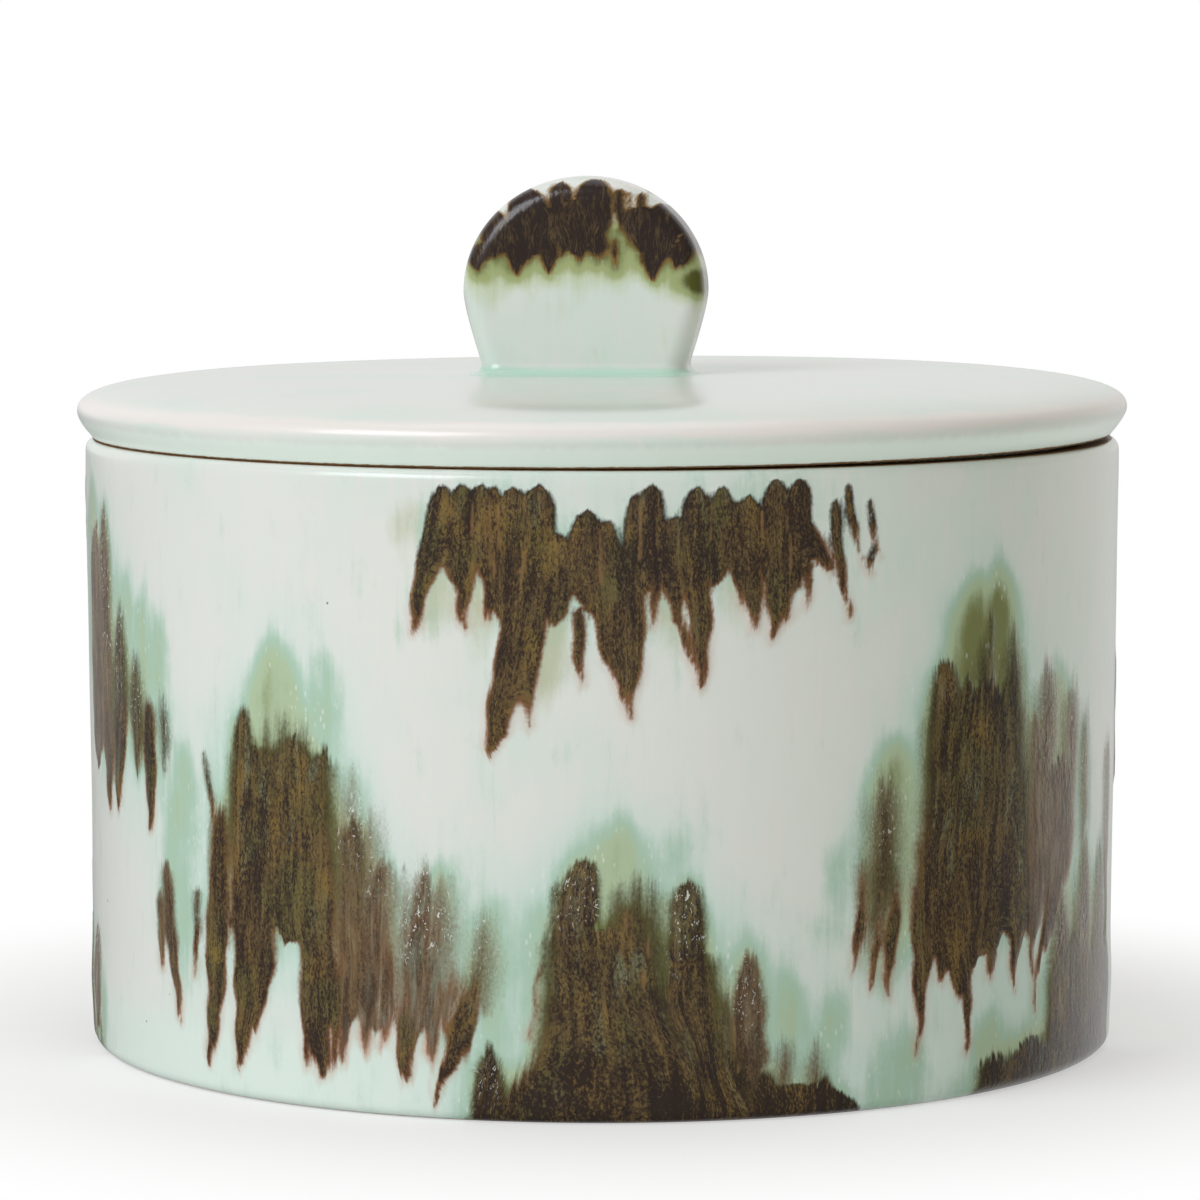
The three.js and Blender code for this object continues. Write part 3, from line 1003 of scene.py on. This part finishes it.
def close_mesh(piece):
    """Joins the edges of the grids, closes the base and turns all faces outward."""
    work = bmesh.new()
    work.from_mesh(piece.data)
    bmesh.ops.remove_doubles(work, verts=work.verts, dist=0.002 * MM)
    open_edges = [edge for edge in work.edges if edge.is_boundary]
    bmesh.ops.holes_fill(work, edges=open_edges, sides=0)
    bmesh.ops.recalc_face_normals(work, faces=work.faces)
    for face in work.faces:
        face.smooth = True
    work.to_mesh(piece.data)
    work.free()


def mesh_points(piece):
    """A mesh's points in millimetres."""
    flat = np.empty(len(piece.data.vertices) * 3, np.float32)
    piece.data.vertices.foreach_get("co", flat)
    return flat.reshape(-1, 3).astype(float) / MM


KNOB_MASS = [
    Mass(-0.8, 29.4, -0.8, 20.4, 5.6, FULL), Mass(-7.5, 28.4, -7.5, 20.4, 5.0, FULL),
    Mass(9.8, 28.2, 9.8, 20.8, 3.2, FULL), Mass(-13.0, 25.6, -13.0, 20.6, 3.4, FULL),
    Mass(13.4, 26.4, 13.4, 19.6, 3.6, FULL), Mass(-16.6, 22.0, -16.6, 19.0, 2.2, FULL),
    Mass(16.6, 22.6, 16.6, 18.6, 2.2, FULL),
]

KNOB_FRONT = Patch(
    0.25, 0.1,
    Knuckle(-18.4, 21.5, -17.6, 17.6, 1.6, DEEP), Knuckle(-14.8, 27.6, -14.2, 19.5, 2.8, DEEP),
    Knuckle(-9.2, 31.2, -8.6, 19.5, 3.6, DEEP), Knuckle(-3.5, 32.3, -3.2, 20.0, 2.3, DEEP),
    Knuckle(2.1, 32.8, 1.8, 20.0, 3.3, DEEP), Knuckle(6.2, 31.2, 6.2, 24.5, 1.1, DEEP),
    Knuckle(8.0, 30.6, 8.0, 22.0, 0.5, 1.2), Knuckle(10.0, 30.6, 9.8, 19.0, 0.9, 1.2),
    Knuckle(14.4, 29.2, 13.2, 19.5, 3.4, DEEP), Knuckle(17.8, 24.6, 17.0, 18.5, 1.9, DEEP),
    Leg(-17.4, 22.0, -17.4, 17.6, 1.4, DEEP), Leg(-11.4, 24.0, -10.8, 16.6, 2.0, DEEP),
    Leg(-9.0, 23.0, -9.4, 18.6, 1.4, DEEP), Leg(-5.6, 24.0, -5.0, 16.8, 1.9, DEEP),
    Leg(-0.6, 24.0, -0.6, 19.0, 1.6, DEEP), Leg(3.4, 24.0, 3.4, 19.4, 1.4, DEEP),
    Leg(5.6, 23.0, 5.4, 18.0, 0.8, DEEP), Leg(12.4, 24.0, 12.2, 15.8, 2.2, DEEP),
    Leg(16.0, 22.0, 16.2, 17.8, 1.6, DEEP),
    *KNOB_MASS,
)

KNOB_BACK = Patch(
    0.25, 0.1,
    Knuckle(-17.6, 23.0, -17.2, 17.2, 1.8, DEEP), Knuckle(-12.8, 28.8, -12.2, 19.5, 3.2, DEEP),
    Knuckle(-6.8, 31.6, -6.4, 20.0, 2.8, DEEP), Knuckle(-1.2, 32.7, -1.0, 20.0, 2.9, DEEP),
    Knuckle(4.4, 31.6, 4.8, 24.0, 1.6, DEEP), Knuckle(8.6, 31.2, 8.0, 20.0, 3.0, DEEP),
    Knuckle(14.4, 28.4, 13.8, 19.5, 2.9, DEEP), Knuckle(18.2, 22.6, 17.6, 17.4, 1.5, DEEP),
    Leg(-15.0, 22.0, -15.4, 16.6, 1.6, DEEP), Leg(-10.2, 24.0, -9.8, 18.4, 1.8, DEEP),
    Leg(-4.2, 24.0, -3.6, 16.0, 2.2, DEEP), Leg(0.8, 24.0, 0.8, 19.2, 1.5, DEEP),
    Leg(5.6, 24.0, 6.0, 17.6, 1.2, DEEP), Leg(10.8, 24.0, 10.6, 18.8, 1.8, DEEP),
    Leg(15.0, 23.0, 15.4, 15.8, 2.0, DEEP),
    *KNOB_MASS,
)


def knob_fields(points):
    """Fields of the dark glaze on the knob, with its own runs on each side."""
    height = points[:, 2] - LID_TOP
    gap = lambda middle: points[:, 0] - KNOB_X - middle
    sides = []
    for patch in (KNOB_FRONT, KNOB_BACK):
        fields = run_fields(gap, height, [patch])
        fields["rise"] = 0.25 * rise(gap, height, [patch])
        fields["fall"] = np.abs(2 * fields["fall"] - 1)
        sides.append(fields)
    share = ramp(points[:, 1], -1.5, 1.5)
    return {name: sides[0][name] * (1 - share) + sides[1][name] * share for name in sides[0]}


def make_knob():
    """The knob with the dark glaze round its top and green below it."""
    piece = knob_mesh()
    points = mesh_points(piece)
    fields = knob_fields(points)
    height = points[:, 2] - LID_TOP
    aside = (points[:, 0] - KNOB_X) / KNOB_HALF
    drift = np.sin(7.5 * aside + 0.6) + 0.6 * np.sin(17 * aside + 2.0)
    level = height + 0.8 * unevenness(points[:, 0] / RIM_RADIUS) + 1.4 * drift + 2.4 * aside ** 2
    near = ramp(fields["depth"], -3.4, 0.9) * ramp(height, 10, 16)
    below = (0.5 * ramp(level, 11.5, 20.5) + 0.75 * near) * (1 - ramp(height, 24, 27))
    # Darker olive green down the knob's right-hand edge, about 16 mm up
    right_edge_olive = np.exp(-((height - 16.0) / 3.2) ** 2) * ramp(aside, 0.5, 1.0)
    pool = 1 - ramp(height, 0.3, 2.6)
    crest = 0.5 * ramp(height, 29.5, 31.5)
    flow = flow_places(points[:, 0], fields.pop("slip"), height)
    green = np.maximum(below, 1.6 * right_edge_olive)
    none = 0 * height
    paint(
        piece, grain=points, flow=flow, green=green, wash=0.25 * below, lime=none,
        pool=none, corner=pool, edge=crest, bare=none,
    )
    paint(piece, **fields)
    return piece


# Materials

def tone(code):
    """A screen colour such as E4EAE2 as a linear colour."""
    parts = [int(code[i:i + 2], 16) / 255 for i in (0, 2, 4)]
    return tuple(c / 12.92 if c <= 0.04045 else ((c + 0.055) / 1.055) ** 2.4 for c in parts) + (1.0,)


PALE = tone("E5E9E3")
PALE_WARM = tone("EAE8E3")
MINT = tone("DAE8DF")
MINT_DEEP = tone("E2F0E7")
MINT_POOL = tone("C3E4D2")
PINKISH = tone("F1EBE7")
# Mint for the lid's bevel, lighter than the glaze itself: pooled mint plus painted light on the
# downward-facing bevel
LIT_BEVEL_MINT = tone("ECFAF1")
BLUSH = tone("C9A48E")
WASH = tone("CFE4DA")
TEAL = tone("B0CFBB")
SAGE = tone("B4C8A5")
OLIVE = tone("7E8452")
LIME_PALE = tone("CFD9BC")
LIME_HAZE = tone("BFC6A6")
LIME = tone("A9B47E")
LIME_DEEP = tone("5A5C28")
OLIVE_BROWN = tone("4F4A2C")
IRON_RIM = tone("2E261F")
IRON_EDGE = tone("845A3A")
IRON_TIP = tone("8C5D3E")
IRON_DARK = tone("322826")
UMBER = tone("5C4A33")
MUSTARD = tone("8A7345")
ASH = tone("7C634A")
ASH_DARK = tone("4A392C")
ASH_LIGHT = tone("A8967C")
MILK = tone("94907A")
OLIVE_TAN = tone("6C6A3E")
GREEN_GREY = tone("848B6C")
SEAM = tone("917048")
GOLD = tone("987A3C")
# Near-white of the painted highlights (glints) on the milky lobes, and of the white flecks in the green wash
SPECK = tone("4A4038")
GLINT_AND_FLECK_WHITE = tone("F2F5F0")
# Bare ochre clay, toned darker than the clay itself so that the gap between lid and rim reads dark: partly
# painted shade
DARKENED_CLAY = tone("94734C")


class Nodes:
    """A node tree that is built up call by call; a field or pattern that is asked for again is used again."""

    def __init__(self, tree):
        self.tree = tree
        self.made = {}

    def add(self, kind, **settings):
        node = self.tree.nodes.new("ShaderNode" + kind)
        for name, value in settings.items():
            setattr(node, name, value)
        return node

    def feed(self, socket, value):
        """Links a socket's source, or sets its constant."""
        if isinstance(value, bpy.types.NodeSocket):
            self.tree.links.new(value, socket)
        else:
            socket.default_value = value

    def attribute(self, name):
        if name not in self.made:
            self.made[name] = self.add("Attribute", attribute_name=name)
        return self.made[name].outputs

    def field(self, name):
        return self.attribute(name)["Fac"]

    def pattern(self, kind, output, stretch, name, **settings):
        """A texture over a field of places in millimetres, of the given size along each axis."""
        key = (kind, stretch, name)
        if key not in self.made:
            places = self.add("VectorMath", operation="DIVIDE")
            self.feed(places.inputs[0], self.attribute(name)["Vector"])
            self.feed(places.inputs[1], stretch)
            node = self.add(kind)
            self.feed(node.inputs["Vector"], places.outputs[0])
            for socket, value in settings.items():
                node.inputs[socket].default_value = value
            self.made[key] = node
        return self.made[key].outputs[output]

    def noise(self, stretch, detail=2.0, name="grain", curl=0.0):
        """Clouds, about 0.2 to 0.8, which may be curled."""
        return self.pattern("TexNoise", "Fac", stretch, name, Scale=1.0, Detail=detail, Distortion=curl)

    def dots(self, stretch, name="grain"):
        """Distance to the nearest of many scattered points, in pattern sizes."""
        return self.pattern("TexVoronoi", "Distance", stretch, name, Scale=1.0)

    def strands(self, across, along, curl=0.0):
        """Streaks that follow the flow of the dark glaze."""
        return self.noise((across, 1.0, along), 2.0, "flow", curl)

    def math(self, operation, first, second=0.0):
        node = self.add("Math", operation=operation)
        self.feed(node.inputs[0], first)
        self.feed(node.inputs[1], second)
        return node.outputs[0]

    def plus(self, first, second):
        return self.math("ADD", first, second)

    def times(self, first, second):
        return self.math("MULTIPLY", first, second)

    def around(self, pattern, amount):
        """A pattern's swing either side of its middle, times an amount."""
        return self.times(self.plus(pattern, -0.5), amount)

    def step(self, value, low, high, start=0.0, end=1.0):
        """Smooth step between two values."""
        node = self.add("MapRange", interpolation_type="SMOOTHSTEP")
        self.feed(node.inputs["Value"], value)
        for name, setting in zip(("From Min", "From Max", "To Min", "To Max"), (low, high, start, end)):
            self.feed(node.inputs[name], setting)
        return node.outputs["Result"]

    def blend(self, amount, first, second):
        node = self.add("MixRGB")
        self.feed(node.inputs["Fac"], amount)
        self.feed(node.inputs["Color1"], first)
        self.feed(node.inputs["Color2"], second)
        return node.outputs["Color"]


class Glaze(Nodes):
    """A material's node tree, with its shader."""

    def __init__(self, name):
        self.material = bpy.data.materials.new(name)
        self.material.use_nodes = True
        super().__init__(self.material.node_tree)
        self.shader = self.tree.nodes["Principled BSDF"]

    def set(self, name, value):
        self.feed(self.shader.inputs[name], value)

    def bump(self, height, distance):
        """Fine relief: the height field times a distance in millimetres."""
        node = self.add("Bump")
        node.inputs["Strength"].default_value = 1.0
        node.inputs["Distance"].default_value = distance * MM
        self.feed(node.inputs["Height"], height)
        self.set("Normal", node.outputs["Normal"])


def pale_glaze(nodes, pooled):
    """Pale satin glaze: mint where it pools, lighter on the lid's bevel as painted light from below, warmer
    where it is thin, with soft streaks and a few specks.
    """
    cloud = nodes.noise((24, 24, 36), 3.0)
    streak = nodes.noise((1.4, 1.4, 16))
    color = nodes.blend(nodes.step(cloud, 0.42, 0.68, 0.0, 0.8), PALE, MINT)
    color = nodes.blend(nodes.step(streak, 0.5, 0.75, 0.0, 0.5), color, PALE_WARM)
    pool = nodes.plus(nodes.field("pool"), nodes.around(streak, 0.5))
    color = nodes.blend(nodes.step(pool, 0.1, 0.9), color, pooled)
    corner = nodes.plus(nodes.field("corner"), nodes.around(cloud, 1.2))
    color = nodes.blend(nodes.step(corner, 0.2, 0.9), color, MINT_POOL)
    edge = nodes.plus(nodes.field("edge"), nodes.around(nodes.noise((9, 9, 3)), 0.8))
    color = nodes.blend(nodes.step(edge, 0.25, 0.95, 0.0, 0.9), color, PINKISH)
    speck = nodes.dots((9, 9, 9))
    return nodes.blend(nodes.step(speck, 0.018, 0.03, 0.7, 0.0), color, SPECK)


def green_haze(nodes, color, greens):
    """Green in the pale glaze round the dark runs, streaked downward, inside a wide faint wash."""
    streak = nodes.around(nodes.noise((1.1, 1.1, 14)), 0.3)
    fine = nodes.around(nodes.noise((0.4, 0.4, 0.8)), 0.15)
    wander = nodes.around(nodes.noise((5, 5, 9)), 0.6)
    swing = nodes.plus(streak, nodes.plus(fine, wander))
    wash = nodes.plus(nodes.field("wash"), nodes.times(swing, 0.5))
    color = nodes.blend(nodes.step(wash, 0.05, 0.6, 0.0, 0.9), color, WASH)
    green = nodes.plus(nodes.field("green"), swing)
    # White flecks in the green wash
    speck = nodes.step(nodes.dots((0.9, 0.9, 2.2)), 0.12, 0.3, 0.4, 0.0)
    white_fleck = nodes.times(speck, nodes.step(wash, 0.15, 0.5))
    lime = nodes.plus(nodes.field("lime"), swing)
    color = nodes.blend(nodes.step(lime, 0.1, 0.7, 0.0, 0.9), color, LIME_HAZE)
    color = nodes.blend(nodes.step(green, 0.05, 0.5), color, greens[0])
    color = nodes.blend(nodes.step(green, 0.4, 0.8), color, greens[1])
    color = nodes.blend(nodes.step(green, 0.8, 1.35), color, greens[2])
    return nodes.blend(nodes.times(white_fleck, nodes.step(nodes.noise((4, 4, 6)), 0.48, 0.62)), color, GLINT_AND_FLECK_WHITE)


def iron_depth(nodes):
    """Depth inside the dark runs: their tops and tips are drawn out in strands, their sides only grained."""
    soft = nodes.field("soft")
    long = nodes.around(nodes.strands(0.9, 16.0), 6.0)
    short = nodes.around(nodes.strands(0.4, 7.0), 3.0)
    top = nodes.step(soft, 0.2, 0.9, 0.12, 1.0)
    tip = nodes.step(nodes.field("fall"), 0.6, 0.95, 0.0, 0.35)
    reach = nodes.times(nodes.plus(long, short), nodes.math("MAXIMUM", top, tip))
    drawn = nodes.times(nodes.field("rise"), reach)
    grain = nodes.times(nodes.around(nodes.strands(0.4, 0.7), 1.0), nodes.plus(nodes.times(soft, 1.6), 0.2))
    sway = nodes.around(nodes.strands(1.6, 5.0), 1.0)
    return nodes.plus(nodes.plus(nodes.field("depth"), drawn), nodes.plus(grain, sway))


def iron_cover(nodes, depth):
    """How much of the pale glaze the dark glaze hides; where it is thin it only veils it, in strands."""
    soft = nodes.field("soft")
    thin = nodes.step(nodes.field("rich"), 0.75, 0.35)
    veil = nodes.times(thin, nodes.step(nodes.strands(1.2, 7.0, 0.6), 0.4, 0.7, 0.0, 0.3))
    whole = nodes.step(depth, nodes.times(soft, -1.5), nodes.times(soft, 1.8))
    return nodes.times(whole, nodes.math("SUBTRACT", 1.0, veil))


def iron_body(nodes, grain_length):
    """Dark grains in tan glaze, gathered in regions and strands, milky in the lobes and ashy where thin."""
    strand = nodes.around(nodes.strands(0.7, 12.0, 0.6), 1.0)
    grain = nodes.around(nodes.strands(0.34, grain_length, 0.8), 1.6)
    coarse = nodes.around(nodes.strands(0.9, 2.4, 0.9), 0.6)
    bands = nodes.around(nodes.strands(1.8, 16.0, 0.9), 1.0)
    region = nodes.plus(bands, nodes.around(nodes.strands(3.0, 7.0, 0.6), 0.7))
    swing = nodes.plus(nodes.plus(strand, grain), coarse)
    rich = nodes.plus(nodes.field("rich"), -1.0)
    thin = nodes.step(rich, -0.1, -0.45)
    tan = nodes.blend(nodes.step(nodes.plus(nodes.times(strand, 0.6), coarse), -0.25, 0.3), UMBER, MUSTARD)
    young = nodes.plus(nodes.field("soft"), nodes.times(region, 0.8))
    tan = nodes.blend(nodes.step(young, 0.7, 1.9, 0.0, 0.6), tan, OLIVE_TAN)
    tan = nodes.blend(nodes.step(nodes.noise((8, 8, 12)), 0.48, 0.66, 0.0, 0.55), tan, OLIVE_TAN)
    high_up = nodes.step(nodes.field("fall"), 0.45, 0.2, 0.0, 0.6)
    upper = nodes.math("MAXIMUM", nodes.step(nodes.field("soft"), 0.4, 0.9), high_up)
    window = nodes.times(nodes.step(nodes.strands(2.2, 9.0, 0.5), 0.54, 0.68), upper)
    tan = nodes.blend(nodes.times(window, 0.6), tan, GREEN_GREY)
    gold = nodes.plus(nodes.noise((6, 6, 9)), nodes.times(nodes.field("pool"), 0.1))
    tan = nodes.blend(nodes.step(gold, 0.5, 0.7, 0.0, 0.45), tan, GOLD)
    tan = nodes.blend(nodes.step(rich, 0.05, 0.2, 0.0, 0.8), tan, UMBER)
    ash = nodes.blend(nodes.step(swing, -0.05, 0.3), ASH, ASH_LIGHT)
    tan = nodes.blend(thin, tan, ash)
    milk = nodes.plus(nodes.field("milk"), nodes.times(swing, 1.2))
    tan = nodes.blend(nodes.step(milk, 0.3, 0.8, 0.0, 0.5), tan, MILK)
    heavy = nodes.times(nodes.math("MAXIMUM", rich, -0.1), 0.5)
    gather = nodes.plus(nodes.times(nodes.field("pool"), 0.15), heavy)
    threads = nodes.plus(grain, nodes.times(strand, -0.3))
    dark = nodes.plus(threads, nodes.plus(nodes.times(coarse, 0.7), region))
    deep = nodes.blend(thin, IRON_DARK, ASH_DARK)
    return nodes.blend(nodes.step(nodes.plus(dark, gather), -0.4, 0.3, 0.05, 0.95), tan, deep)


def iron_color(nodes, depth, grain_length):
    """The dark glaze with its thin edge: dark or olive round the tops, red-brown lower, rusty at tips, with
    painted highlights as white glints on the milky lobes.
    """
    fall = nodes.field("fall")
    soft = nodes.field("soft")
    top = nodes.blend(nodes.step(soft, 0.25, 0.5), IRON_RIM, OLIVE_BROWN)
    top = nodes.blend(nodes.step(nodes.field("rich"), 0.9, 0.55), top, ASH)
    edge = nodes.blend(nodes.step(fall, 0.35, 0.65), top, IRON_EDGE)
    edge = nodes.blend(nodes.step(fall, 0.75, 0.98), edge, IRON_TIP)
    edge = nodes.blend(nodes.step(nodes.field("rich"), 1.05, 1.2, 0.0, 0.6), edge, GOLD)
    inner = nodes.step(soft, 0.2, 1.4, 0.8, 4.0)
    color = nodes.blend(nodes.step(depth, 0.05, inner), edge, iron_body(nodes, grain_length))
    seam = nodes.plus(nodes.field("seam"), nodes.around(nodes.strands(0.5, 3.0), 0.8))
    color = nodes.blend(nodes.step(seam, 0.35, 0.9, 0.0, 0.55), color, SEAM)
    # Painted highlights: white glints put into the colour on the milky lobes
    painted_glint = nodes.step(nodes.strands(0.6, 1.1, 1.5), 0.62, 0.7, 0.0, 0.85)
    return nodes.blend(nodes.times(painted_glint, nodes.step(nodes.field("milk"), 0.25, 0.55)), color, GLINT_AND_FLECK_WHITE)


def blush(nodes, color, depth):
    """A faint rusty tinge in the pale glaze round the tips."""
    near = nodes.times(nodes.step(depth, -1.6, 0.2), nodes.step(nodes.field("rich"), 0.8, 0.5, 0.4, 0.8))
    near = nodes.times(near, nodes.step(nodes.field("rich"), 1.15, 1.05))
    return nodes.blend(nodes.times(near, nodes.step(nodes.field("fall"), 0.7, 0.95)), color, BLUSH)


def clay_mask(nodes):
    noise = nodes.noise((1.5, 1.5, 1.5), 2.0)
    return nodes.step(nodes.plus(nodes.field("bare"), nodes.around(noise, 0.5)), 0.35, 0.6)


def bare_clay(nodes, color, mask):
    """Unglazed ochre clay where the mask is 1, toned darker than the clay itself as painted shade for the gap
    under the lid.
    """
    noise = nodes.noise((0.6, 0.6, 0.6), 3.0)
    clay = nodes.blend(nodes.step(noise, 0.35, 0.75, 0.0, 0.35), DARKENED_CLAY, SPECK)
    return nodes.blend(mask, color, clay)


def glaze_finish(nodes, gloss):
    """Satin gloss under a thin clear coat."""
    nodes.set("Specular IOR Level", 0.45)
    nodes.set("Coat Weight", gloss)
    nodes.set("Coat Roughness", 0.16)
    nodes.set("Coat IOR", 1.5)


def drip_glaze(name, greens, grain_length):
    """Pale glaze with dark runs, for the jar and the knob."""
    nodes = Glaze(name)
    depth = iron_depth(nodes)
    cover = iron_cover(nodes, depth)
    color = green_haze(nodes, pale_glaze(nodes, MINT_DEEP), greens)
    color = nodes.blend(cover, blush(nodes, color, depth), iron_color(nodes, depth, grain_length))
    mask = clay_mask(nodes)
    nodes.set("Base Color", bare_clay(nodes, color, mask))
    nodes.set("Roughness", nodes.step(mask, 0.0, 1.0, 0.24, 0.75))
    swell = nodes.noise((5, 5, 7))
    grain = nodes.noise((0.6, 0.6, 1.4))
    bubbles = nodes.times(nodes.dots((0.9, 0.9, 1.3)), nodes.times(nodes.field("milk"), 2.4))
    rough_skin = nodes.times(nodes.plus(nodes.times(grain, 0.5), bubbles), cover)
    nodes.bump(nodes.plus(nodes.times(swell, 0.6), nodes.plus(rough_skin, nodes.times(cover, 0.6))), 0.12)
    glaze_finish(nodes, nodes.step(cover, 0.0, 1.0, 0.3, 0.12))
    return nodes.material


def lid_glaze():
    nodes = Glaze("lid_glaze")
    mask = clay_mask(nodes)
    # The bevel's mint is partly pooled glaze and partly painted light from below
    nodes.set("Base Color", bare_clay(nodes, pale_glaze(nodes, LIT_BEVEL_MINT), mask))
    nodes.set("Roughness", nodes.step(mask, 0.0, 1.0, 0.28, 0.75))
    glaze_finish(nodes, 0.3)
    return nodes.material


# Stage

def seen_rays(nodes):
    """1 for what is seen straight on or through glass, and 1 for what is seen in reflections."""
    rays = nodes.add("LightPath").outputs
    straight = nodes.math("MAXIMUM", rays["Is Camera Ray"], rays["Is Transmission Ray"])
    return straight, rays["Is Glossy Ray"]


def floor_material():
    """Pale table that keeps the shadow near the jar and runs out to white away from it."""
    nodes = Glaze("floor")
    away = nodes.add("VectorMath", operation="LENGTH")
    nodes.feed(away.inputs[0], nodes.add("NewGeometry").outputs["Position"])
    noise = nodes.add("TexNoise")
    noise.inputs["Scale"].default_value = 60.0
    nodes.set("Base Color", nodes.blend(noise.outputs["Fac"], tone("F2F2F1"), tone("F6F6F5")))
    nodes.set("Roughness", 0.8)
    nodes.set("Specular IOR Level", 0.1)
    white = nodes.add("Emission")
    white.inputs["Strength"].default_value = 1.0
    straight = seen_rays(nodes)[0]
    far = nodes.step(away.outputs["Value"], 0.086, 0.17, 0.5, 1.0)
    mix = nodes.add("MixShader")
    nodes.feed(mix.inputs[0], nodes.times(far, straight))
    nodes.feed(mix.inputs[1], nodes.shader.outputs[0])
    nodes.feed(mix.inputs[2], white.outputs[0])
    nodes.feed(nodes.tree.nodes["Material Output"].inputs["Surface"], mix.outputs[0])
    return nodes.material


def make_floor():
    """A table whose front edge is near the jar, so the jar's front mirrors the dim room, not the table."""
    reach = 12000.0
    front = -350.0
    drop = -0.05
    front_corners = [(-reach, front, drop), (reach, front, drop)]
    corners = np.array(front_corners + [(reach, reach, drop), (-reach, reach, drop)])
    floor = mesh_piece("floor", corners, [(0, 1, 2, 3)])
    floor.data.materials.append(floor_material())
    floor.visible_glossy = False


def make_world():
    """A white studio: plain white to the eye, white behind and dim in front in reflections, soft as light."""
    world = bpy.data.worlds.new("studio")
    world.use_nodes = True
    bpy.context.scene.world = world
    nodes = Nodes(world.node_tree)
    towards = nodes.add("SeparateXYZ")
    nodes.feed(towards.inputs[0], nodes.add("TexCoord").outputs["Generated"])
    side = nodes.step(towards.outputs["X"], -0.4, 0.4, 0.3, 0.75)
    above = nodes.step(towards.outputs["Z"], -0.09, 0.05, side, 0.86)
    behind = nodes.step(towards.outputs["Y"], 0.15, 0.75, 0.06, above)
    straight, mirrored = seen_rays(nodes)
    light = nodes.blend(mirrored, AMBIENT, behind)
    back = world.node_tree.nodes["Background"]
    nodes.feed(back.inputs["Color"], nodes.blend(straight, light, (1, 1, 1, 1)))


def make_lamp(name, place, size, power, mirrored=True):
    """A square soft box aimed at the middle of the jar, which may show in its gloss."""
    lamp = bpy.data.lights.new(name, "AREA")
    lamp.size = size
    lamp.energy = power
    lamp.color = (0.97, 1.0, 1.08)
    holder = bpy.data.objects.new(name, lamp)
    bpy.context.collection.objects.link(holder)
    holder.location = place
    holder.visible_glossy = mirrored
    aim = Vector((0, 0, JAR_HEIGHT / 2 * MM)) - holder.location
    holder.rotation_euler = aim.to_track_quat("-Z", "Y").to_euler()


def make_lamps():
    make_lamp("key", (-0.95, -1.05, 1.0), 0.9, 13.5)
    make_lamp("top", (-0.1, 0.2, 1.5), 1.0, 3.0)
    make_lamp("fill", (0.3, -1.4, 0.15), 0.8, 1.8, mirrored=False)


def make_camera():
    turn = math.radians(PHOTO_TURN)
    pitch = math.radians(CAMERA_PITCH)
    lens = bpy.data.cameras.new("photo_camera")
    lens.lens = CAMERA_LENS
    lens.sensor_width = SENSOR
    camera = bpy.data.objects.new("photo_camera", lens)
    bpy.context.collection.objects.link(camera)
    ahead = Vector((-math.sin(turn), math.cos(turn), 0))
    aside = Vector((math.cos(turn), math.sin(turn), 0))
    place = -ahead * CAMERA_REACH + aside * CAMERA_ASIDE
    place.z = CAMERA_HEIGHT
    camera.location = place * MM
    look = ahead * math.cos(pitch) - Vector((0, 0, math.sin(pitch)))
    camera.rotation_euler = look.to_track_quat("-Z", "Y").to_euler()
    bpy.context.scene.camera = camera


def dress(piece, body, node, material):
    """Gives a piece its material and puts it in place of its CAD node."""
    piece.data.materials.append(material)
    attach(piece, body)
    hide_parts(node)


JAR_GREENS = (TEAL, SAGE, OLIVE)
KNOB_GREENS = (LIME_PALE, LIME, LIME_DEEP)
JAR_GRAIN = 0.7
KNOB_GRAIN = 1.5

dress(make_jar(), "jar", "jar_body", drip_glaze("jar_glaze", JAR_GREENS, JAR_GRAIN))
dress(make_lid(), "lid", "lid_plate", lid_glaze())
dress(make_knob(), "lid", "lid_knob", drip_glaze("knob_glaze", KNOB_GREENS, KNOB_GRAIN))

make_floor()
make_world()
make_lamps()
make_camera()
bpy.context.scene.view_settings.view_transform = "Standard"
